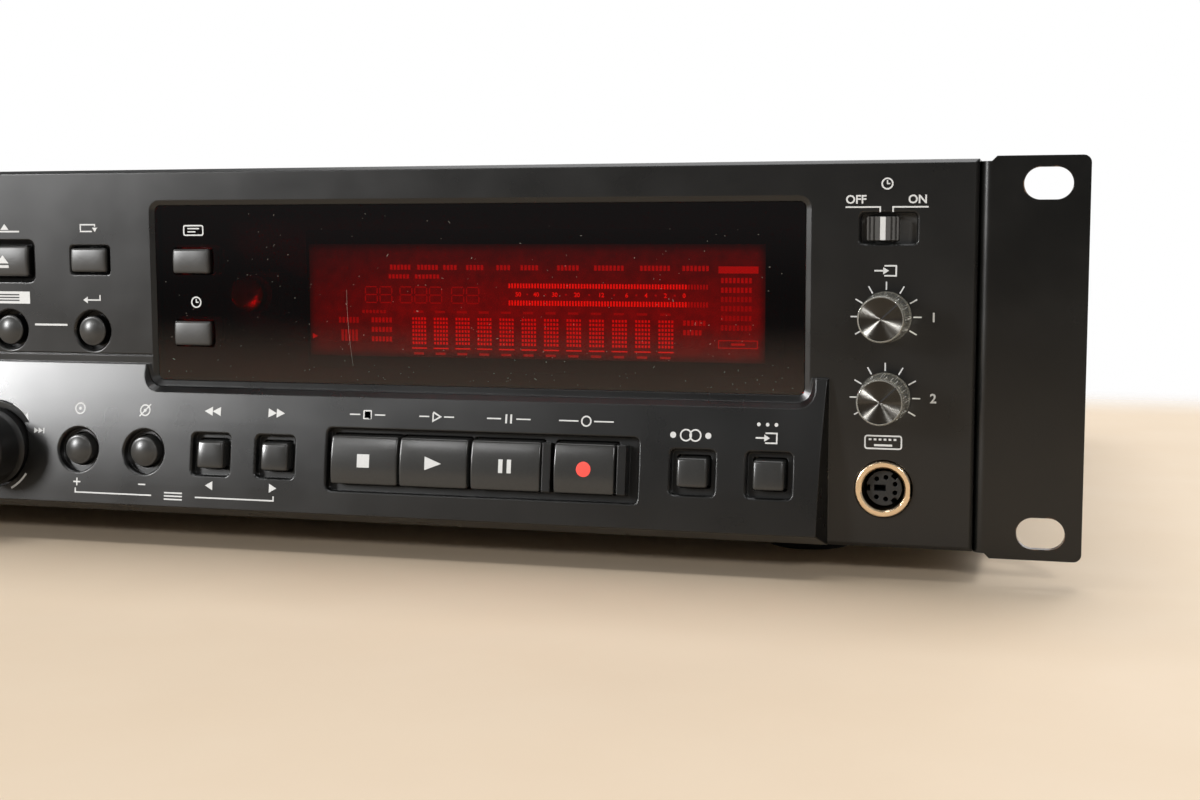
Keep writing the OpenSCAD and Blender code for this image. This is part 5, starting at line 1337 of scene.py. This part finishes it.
@dataclass
class Ink:
    """Flat marks in x and z, gathered before they are printed on a surface."""

    shapes: list[np.ndarray] = field(default_factory=list)

    def draw(self, **marks: list) -> None:
        """Add rows of marks, each kind by the method of its name."""
        for kind, rows in marks.items():
            for row in rows:
                getattr(self, kind)(*row)

    def bar(self, x0: float, x1: float, z0: float, z1: float) -> None:
        """Add a plain bar."""
        self.shapes.append(np.array([[x0, z0], [x1, z0], [x1, z1], [x0, z1]]))

    def stroke(self, points: np.ndarray | list, width: float) -> None:
        """Add a line of one width: each point is moved to both sides along its mitre.

        Args:
            points: Rows of x and z along the line.
            width: Its width.
        """
        points = np.asarray(points, float)
        steps = np.diff(points, axis=0)
        steps /= np.linalg.norm(steps, axis=1)[:, None]
        sides = np.stack([-steps[:, 1], steps[:, 0]], -1)
        mitre = np.concatenate([sides[:1], sides[:-1] + sides[1:], sides[-1:]])
        mitre /= np.linalg.norm(mitre, axis=1)[:, None]
        turn = np.concatenate([[1.0], np.sum(mitre[1:-1] * sides[1:], 1), [1.0]])
        off = mitre * (width / 2 / turn)[:, None]
        self.shapes.append(np.concatenate([points - off, (points + off)[::-1]]))

    def arc(self, x: float, z: float, r: float, width: float, start: float = 0.0, end: float = 359.0) -> None:
        """Add an arc between two angles in degrees; a full ring keeps a hairline seam."""
        a = np.radians(np.linspace(start, end, max(5, int(abs(end - start) / 9))))
        self.stroke(heading(a) * r + [x, z], width)

    def dot(self, x: float, z: float, r: float) -> None:
        """Add a round dot."""
        self.shapes.append(heading(np.linspace(0, 4 * QUARTER, 28, endpoint=False)) * r + [x, z])

    def arrow(self, x: float, z: float, wide: float, high: float, turn: float = 0.0) -> None:
        """Add a solid arrow head, pointing right and then turned.

        Args:
            x: Its middle across.
            z: Its middle up.
            wide: Its length before it is turned.
            high: Its width before it is turned.
            turn: The turn in degrees.
        """
        points = np.array([[wide / 2, 0], [-wide / 2, high / 2], [-wide / 2, -high / 2]])
        self.shapes.append(points @ heading(np.radians([turn, turn + 90])) + [x, z])

    def frame(self, x: float, z: float, wide: float, high: float, width: float, radius: float) -> None:
        """Add a rounded frame line round a middle."""
        loop = rounded(wide - width, high - width, radius, 3, 0) + [x, z]
        self.stroke(np.concatenate([loop, loop[:1] + (loop[1:2] - loop[:1]) * 0.05]), width)

    def print(self, name: str, surface: Surface, finish: Finish, extra: list[Skin] | None = None) -> None:
        """Print the marks on a surface as one piece."""
        piece(name, join([prism(shape, surface) for shape in self.shapes] + (extra or [])), finish, "case")


@dataclass
class Printing:
    """Generic marks of the front: arrows, ticks, plain numbers, ON and OFF, and small pictures."""

    line: float = 0.34
    tick_r: Pair = (6.0, 7.8)
    column_x: float = 198.4
    dial: Pair = (-28.0, -26.7)
    mark_half: float = 1.58
    dot_r: float = 1.75

    def build(self, keys: dict[str, Key]) -> None:
        """Print the panel, the window, the strip and the key faces.

        Args:
            keys: The keys by node, whose faces carry marks.
        """
        self.on_panel()
        self.on_glass()
        self.on_strip()
        self.on_keys(keys)

    def dial_ticks(self, ink: Ink, x: float, z: float) -> None:
        """Add nine ticks every 30 degrees round a knob, open at the foot."""
        for step in heading(np.radians(np.arange(-30, 211, 30))):
            ink.stroke(np.outer(self.tick_r, step) + [x, z], 0.3)

    def clock(self, ink: Ink, x: float, z: float, r: float) -> None:
        """Add a clock face with two hands."""
        ink.arc(x, z, r, self.line)
        ink.stroke([[x, z + 0.68 * r], [x, z], [x + 0.5 * r, z]], self.line * 0.85)

    def into_box(self, ink: Ink, x: float, z: float) -> None:
        """Add an arrow that points into an open box, the usual sign for an input."""
        box = [[x - 0.4, z + 1.1], [x + 2.2, z + 1.1], [x + 2.2, z - 1.1], [x - 0.4, z - 1.1]]
        ink.draw(stroke=[(box, self.line)], bar=[(x - 2.6, x - 0.6, z - 0.18, z + 0.18)],
                 arrow=[(x, z, 1.3, 1.6)])

    def on_panel(self) -> None:
        """Print the flat panel: upper keys, right column and left column."""
        ink, line, left = Ink(), self.line, -self.column_x
        # Tray label: a tray with an arrow out of it; loop and return marks; the list field
        ink.draw(bar=[(-30.4, -21.8, 28.0, 28.4), (-31.5, -19.3, 9.8, 12.9), (-18.1, -8.6, 4.25, 4.75)],
                 arrow=[(-26.1, 29.4, 1.5, 2.4, 90), (0.2, 28.6, 1.1, 1.5, -90), (-3.1, 10.9, 1.3, 1.7, 180)],
                 stroke=[([[-0.6, 28.2], [-3.9, 28.2], [-3.9, 29.9], [0.2, 29.9], [0.2, 29.4]], line),
                         ([[1.1, 12.2], [1.1, 10.9], [-2.4, 10.9]], line)])
        # Timer switch: a clock, and a bracket to each end of the slot
        self.clock(ink, 198.3, 38.3, 1.15)
        ink.draw(stroke=[([[far, 33.2], [near, 33.2], [near, 32.1]], line)
                         for far, near in ((189.2, 196.8), (207.3, 199.6))])
        # Knobs, and a keyboard outline with keys and a space bar
        self.into_box(ink, 198.3, 19.2)
        for x, z in ((-left, 9.0), (-left, -9.0), (left, -6.0)):
            self.dial_ticks(ink, x, z)
        ink.draw(frame=[(198.2, -19.0, 8.4, 3.2, line, 0.5)],
                 bar=[*((195.0 + 1.1 * i, 195.6 + 1.1 * i, -18.6, -18.15) for i in range(6)),
                      (196.2, 200.2, -19.9, -19.45)])
        # Left column: the usual power and headphone signs
        ink.draw(arc=[(left, 35.2, 1.2, line, 120, 420), (left, -19.4, 1.5, line, -10, 190)],
                 bar=[(left - 0.17, left + 0.17, 35.4, 36.9),
                      *((left + side - 0.4, left + side + 0.4, -20.7, -19.3) for side in (-1.5, 1.5))])
        words = [lettering(text, height, (x, z), FACE) for text, height, x, z in (
            ("OFF", 1.9, 191.5, 34.9), ("ON", 1.9, 204.9, 34.9),
            ("1", 2.1, 208.8, 9.0), ("2", 2.1, 209.0, -8.9))]
        ink.print("panel_printing", FACE, WHITE_INK, words)
        mark = Ink()
        mark.draw(bar=[(-28.4, -22.4, 10.45 + 0.72 * i, 10.8 + 0.72 * i) for i in range(3)])
        mark.print("list_mark", level(-INK_T), BLACK_INK)

    def on_glass(self) -> None:
        """Print the window: a screen above the display key and a clock above the time key."""
        ink = Ink()
        ink.draw(frame=[(27.6, 28.4, 5.6, 2.7, self.line, 0.4)],
                 bar=[(26.0, 29.2, 28.7, 29.0), (26.0, 28.2, 27.9, 28.2)])
        self.clock(ink, 27.9, 10.6, 1.25)
        ink.print("window_printing", GLASS, WHITE_INK)

    def on_strip(self) -> None:
        """Print the strip: marks of the small keys, legends over the transport keys and the dial's arcs."""
        ink, line = Ink(), self.line
        # Disc signs over the round buttons, plus and minus under them, and the bracket with list lines
        ink.draw(arc=[(x, -16.4, 1.3, line) for x in (-3.4, 15.1)],
                 dot=[(x, -16.4, 0.38) for x in (-3.4, 15.1)],
                 stroke=[([[13.6, -17.9], [16.6, -14.9]], line),
                         ([[-3.8, -36.3], [-3.8, -37.4], [17.8, -37.4]], line),
                         ([[30.0, -37.4], [51.3, -37.4], [51.3, -36.3]], line)],
                 bar=[(-4.4, -2.4, -34.95, -34.6), (-3.57, -3.23, -35.75, -33.8), (14.1, 16.1, -34.95, -34.6),
                      *((21.4, 26.4, -38.35 + 0.8 * i, -38.0 + 0.8 * i) for i in range(3))])
        # Double arrows over the search keys and single ones under them
        for x, turn in ((33.9, 180), (51.3, 0)):
            ink.draw(arrow=[(x - 1.1, -16.15, 2.2, 2.2, turn), (x + 1.1, -16.15, 2.2, 2.2, turn),
                            (x - 0.2, -34.35, 2.0, 2.2, turn)])
        # Outlined legends with a short line at each side, one over each transport key
        for x, half in ((75.3, 4.6), (93.1, 4.4), (111.2, 5.4), (130.2, 6.6)):
            ink.draw(bar=[(x - half, x - 1.9, -16.0, -15.7), (x + 1.9, x + half, -16.0, -15.7)])
        ink.draw(frame=[(75.3, -15.85, 2.2, 2.2, line, 0.12)],
                 stroke=[([[92.2, -14.8], [94.1, -15.85], [92.2, -16.9], [92.2, -14.95]], line)],
                 bar=[(x - 0.22, x + 0.22, -16.9, -14.8) for x in (110.6, 111.8)],
                 arc=[(130.2, -15.85, 1.1, line)])
        # Two linked rings for the sync key, an input sign with three places for the select key
        ink.draw(arc=[(x, -18.3, 1.25, line) for x in (154.0, 156.2)],
                 dot=[*((x, -18.3, 0.7) for x in (159.2, 151.0)),
                      *((x, -15.4, 0.42) for x in (170.7, 172.7, 174.7))])
        self.into_box(ink, 172.7, -18.4)
        # Arcs and skip marks beside the dial
        middle, z = self.dial
        for side, turn, tip in ((-1, 180, 230), (1, 0, -50)):
            x = middle + side * 12.8
            ink.draw(arc=[(middle, z, 11.8, 0.5, *((a, b) if side > 0 else (180 - b, 180 - a)))
                          for a, b in ((44, 66), (-62, -34))],
                     arrow=[*((x + side * off, -22.3, 1.2, 1.4, turn) for off in (-0.6, 0.65)),
                            (middle + side * 9.2, -19.1, 1.6, 1.9, tip)],
                     bar=[(x + side * 1.6 - 0.16, x + side * 1.6 + 0.16, -23.0, -21.6)])
        ink.print("strip_printing", PANEL.strip, WHITE_INK)

    def on_keys(self, keys: dict[str, Key]) -> None:
        """Print the usual transport signs on the key faces, and the tray sign on the tray key.

        Args:
            keys: The keys by node.
        """
        half = self.mark_half
        up = np.linspace(-half, half, 17)
        disc_up = np.sin(np.linspace(-0.49, 0.49, 25) * np.pi) * self.dot_r
        disc = np.sqrt(self.dot_r ** 2 - disc_up ** 2)
        share, foot = np.linspace(0, 1, 9), np.linspace(-1.75, -1.05, 4)
        tent = 1.7 * (1.03 - share)
        # Each sign: its key, its ink, and plates as left ends, right ends and heights about the key's middle
        signs = (
            ("stop", "stop_key", WHITE_INK, [(-half + 0 * up, half + 0 * up, up)]),
            ("play", "play_key", WHITE_INK, [(-2.0 + 0 * up, 4.1 * (1.02 - np.abs(up) / half) - 2.0, up)]),
            ("pause", "pause_key", WHITE_INK,
             [(x - 0.52 + 0 * up, x + 0.52 + 0 * up, up) for x in (-1.05, 1.05)]),
            ("record", "record_key", CORAL_INK, [(-disc, disc, disc_up)]),
            ("tray", "open_close_key", WHITE_INK, [(-tent, tent, 2.0 * share - 0.6),
                                                   (-1.7 + 0 * foot, 1.7 + 0 * foot, foot)]))
        for name, node, finish, plates in signs:
            x, _, z = keys[node].middle
            skins = [plate(x + a, x + b, z + high, keys[node].face) for a, b, high in plates]
            piece(name + "_mark", join(skins), finish, keys[node].body)


@dataclass
class Controls:
    """All keys, buttons, knobs and the dial of the front."""

    # Each group: style, depth of the flange's stop, edge, crown at the sides, nodes
    keys: tuple = (
        (KeyStyle.FLAT, 3.3, 0.55, 0.28, ("open_close_key", "repeat_key")),
        (KeyStyle.FLAT, 4.7, 0.55, 0.28, ("display_key", "time_key")),
        (KeyStyle.STRIP, 0.1, 0.55, 0.28,
         ("search_back_key", "search_forward_key", "sync_key", "input_select_key")),
        (KeyStyle.DECK, 0.5, 0.4, 0.12, ("stop_key", "play_key", "pause_key", "record_key")))
    power_stop: float = 3.3
    # Each round button: node, depth of the flange's stop
    domes: tuple = (("menu_button", 3.3), ("escape_button", 3.3),
                    ("finalize_button", 0.1), ("erase_button", 0.1))
    knobs: tuple = ("input_knob_left", "input_knob_right", "phones_knob")

    def build(self) -> dict[str, Key]:
        """Build every control.

        Returns:
            The keys by node.
        """
        keys = {node: Key(node, style, "body_" + node, stop, edge, crown)
                for style, stop, edge, crown, nodes in self.keys for node in nodes}
        keys["power_button"] = Key("power_button", KeyStyle.FLAT, "power", self.power_stop)
        for control in (*keys.values(), *(DomeButton(*dome) for dome in self.domes), JogDial(),
                        *(LevelKnob(node) for node in self.knobs), TimerSwitch()):
            control.build()
        return keys


@dataclass
class RearConnectors:
    """Bright pins in the mains inlet; the phono barrels take their colours from their finish."""

    inlet: Pair = (-165.0, -12.0)
    pins: tuple = ((-7.0, -2.0), (7.0, -2.0), (0.0, 3.0))
    pin: tuple[float, float, float] = (2.0, 12.0, 4.0)
    depth: float = 269.0
    skin: float = 0.05

    def build(self) -> None:
        """Sleeve the inlet's pins with thin brass skins."""
        wide, high = self.pin[0] / 2 + self.skin, self.pin[2] / 2 + self.skin
        ends = (self.depth, self.depth + self.pin[1] + self.skin)
        rows = [(x - wide, x + wide, *ends, z - high, z + high) for x, z in np.add(self.pins, self.inlet)]
        piece("inlet_pins", slabs(np.array(rows)), BRASS, "case", "")


def dress_frame() -> None:
    """Give each CAD node the finish of its record slot."""
    for part in frame["record"]["subparts"]:
        node = frame["nodes"][part["node"]]
        finish = SLIDER_ABS if part["node"] == "timer_slider" else SLOT_FINISH[part["material_slot"]]
        node.data.materials.clear()
        node.data.materials.append(finish.material())
        LOG.info("%s: %s", part["node"], finish.name)


def main() -> None:
    """Build the studio and every sub-assembly in order."""
    logging.basicConfig(level=logging.INFO, format="%(message)s")
    Studio().build()
    dress_frame()
    keys = Controls().build()
    for unit in (KeyboardSocket(), DisplayUnit(), RearConnectors()):
        unit.build()
    Printing().build(keys)


if __name__ == "__main__":
    main()
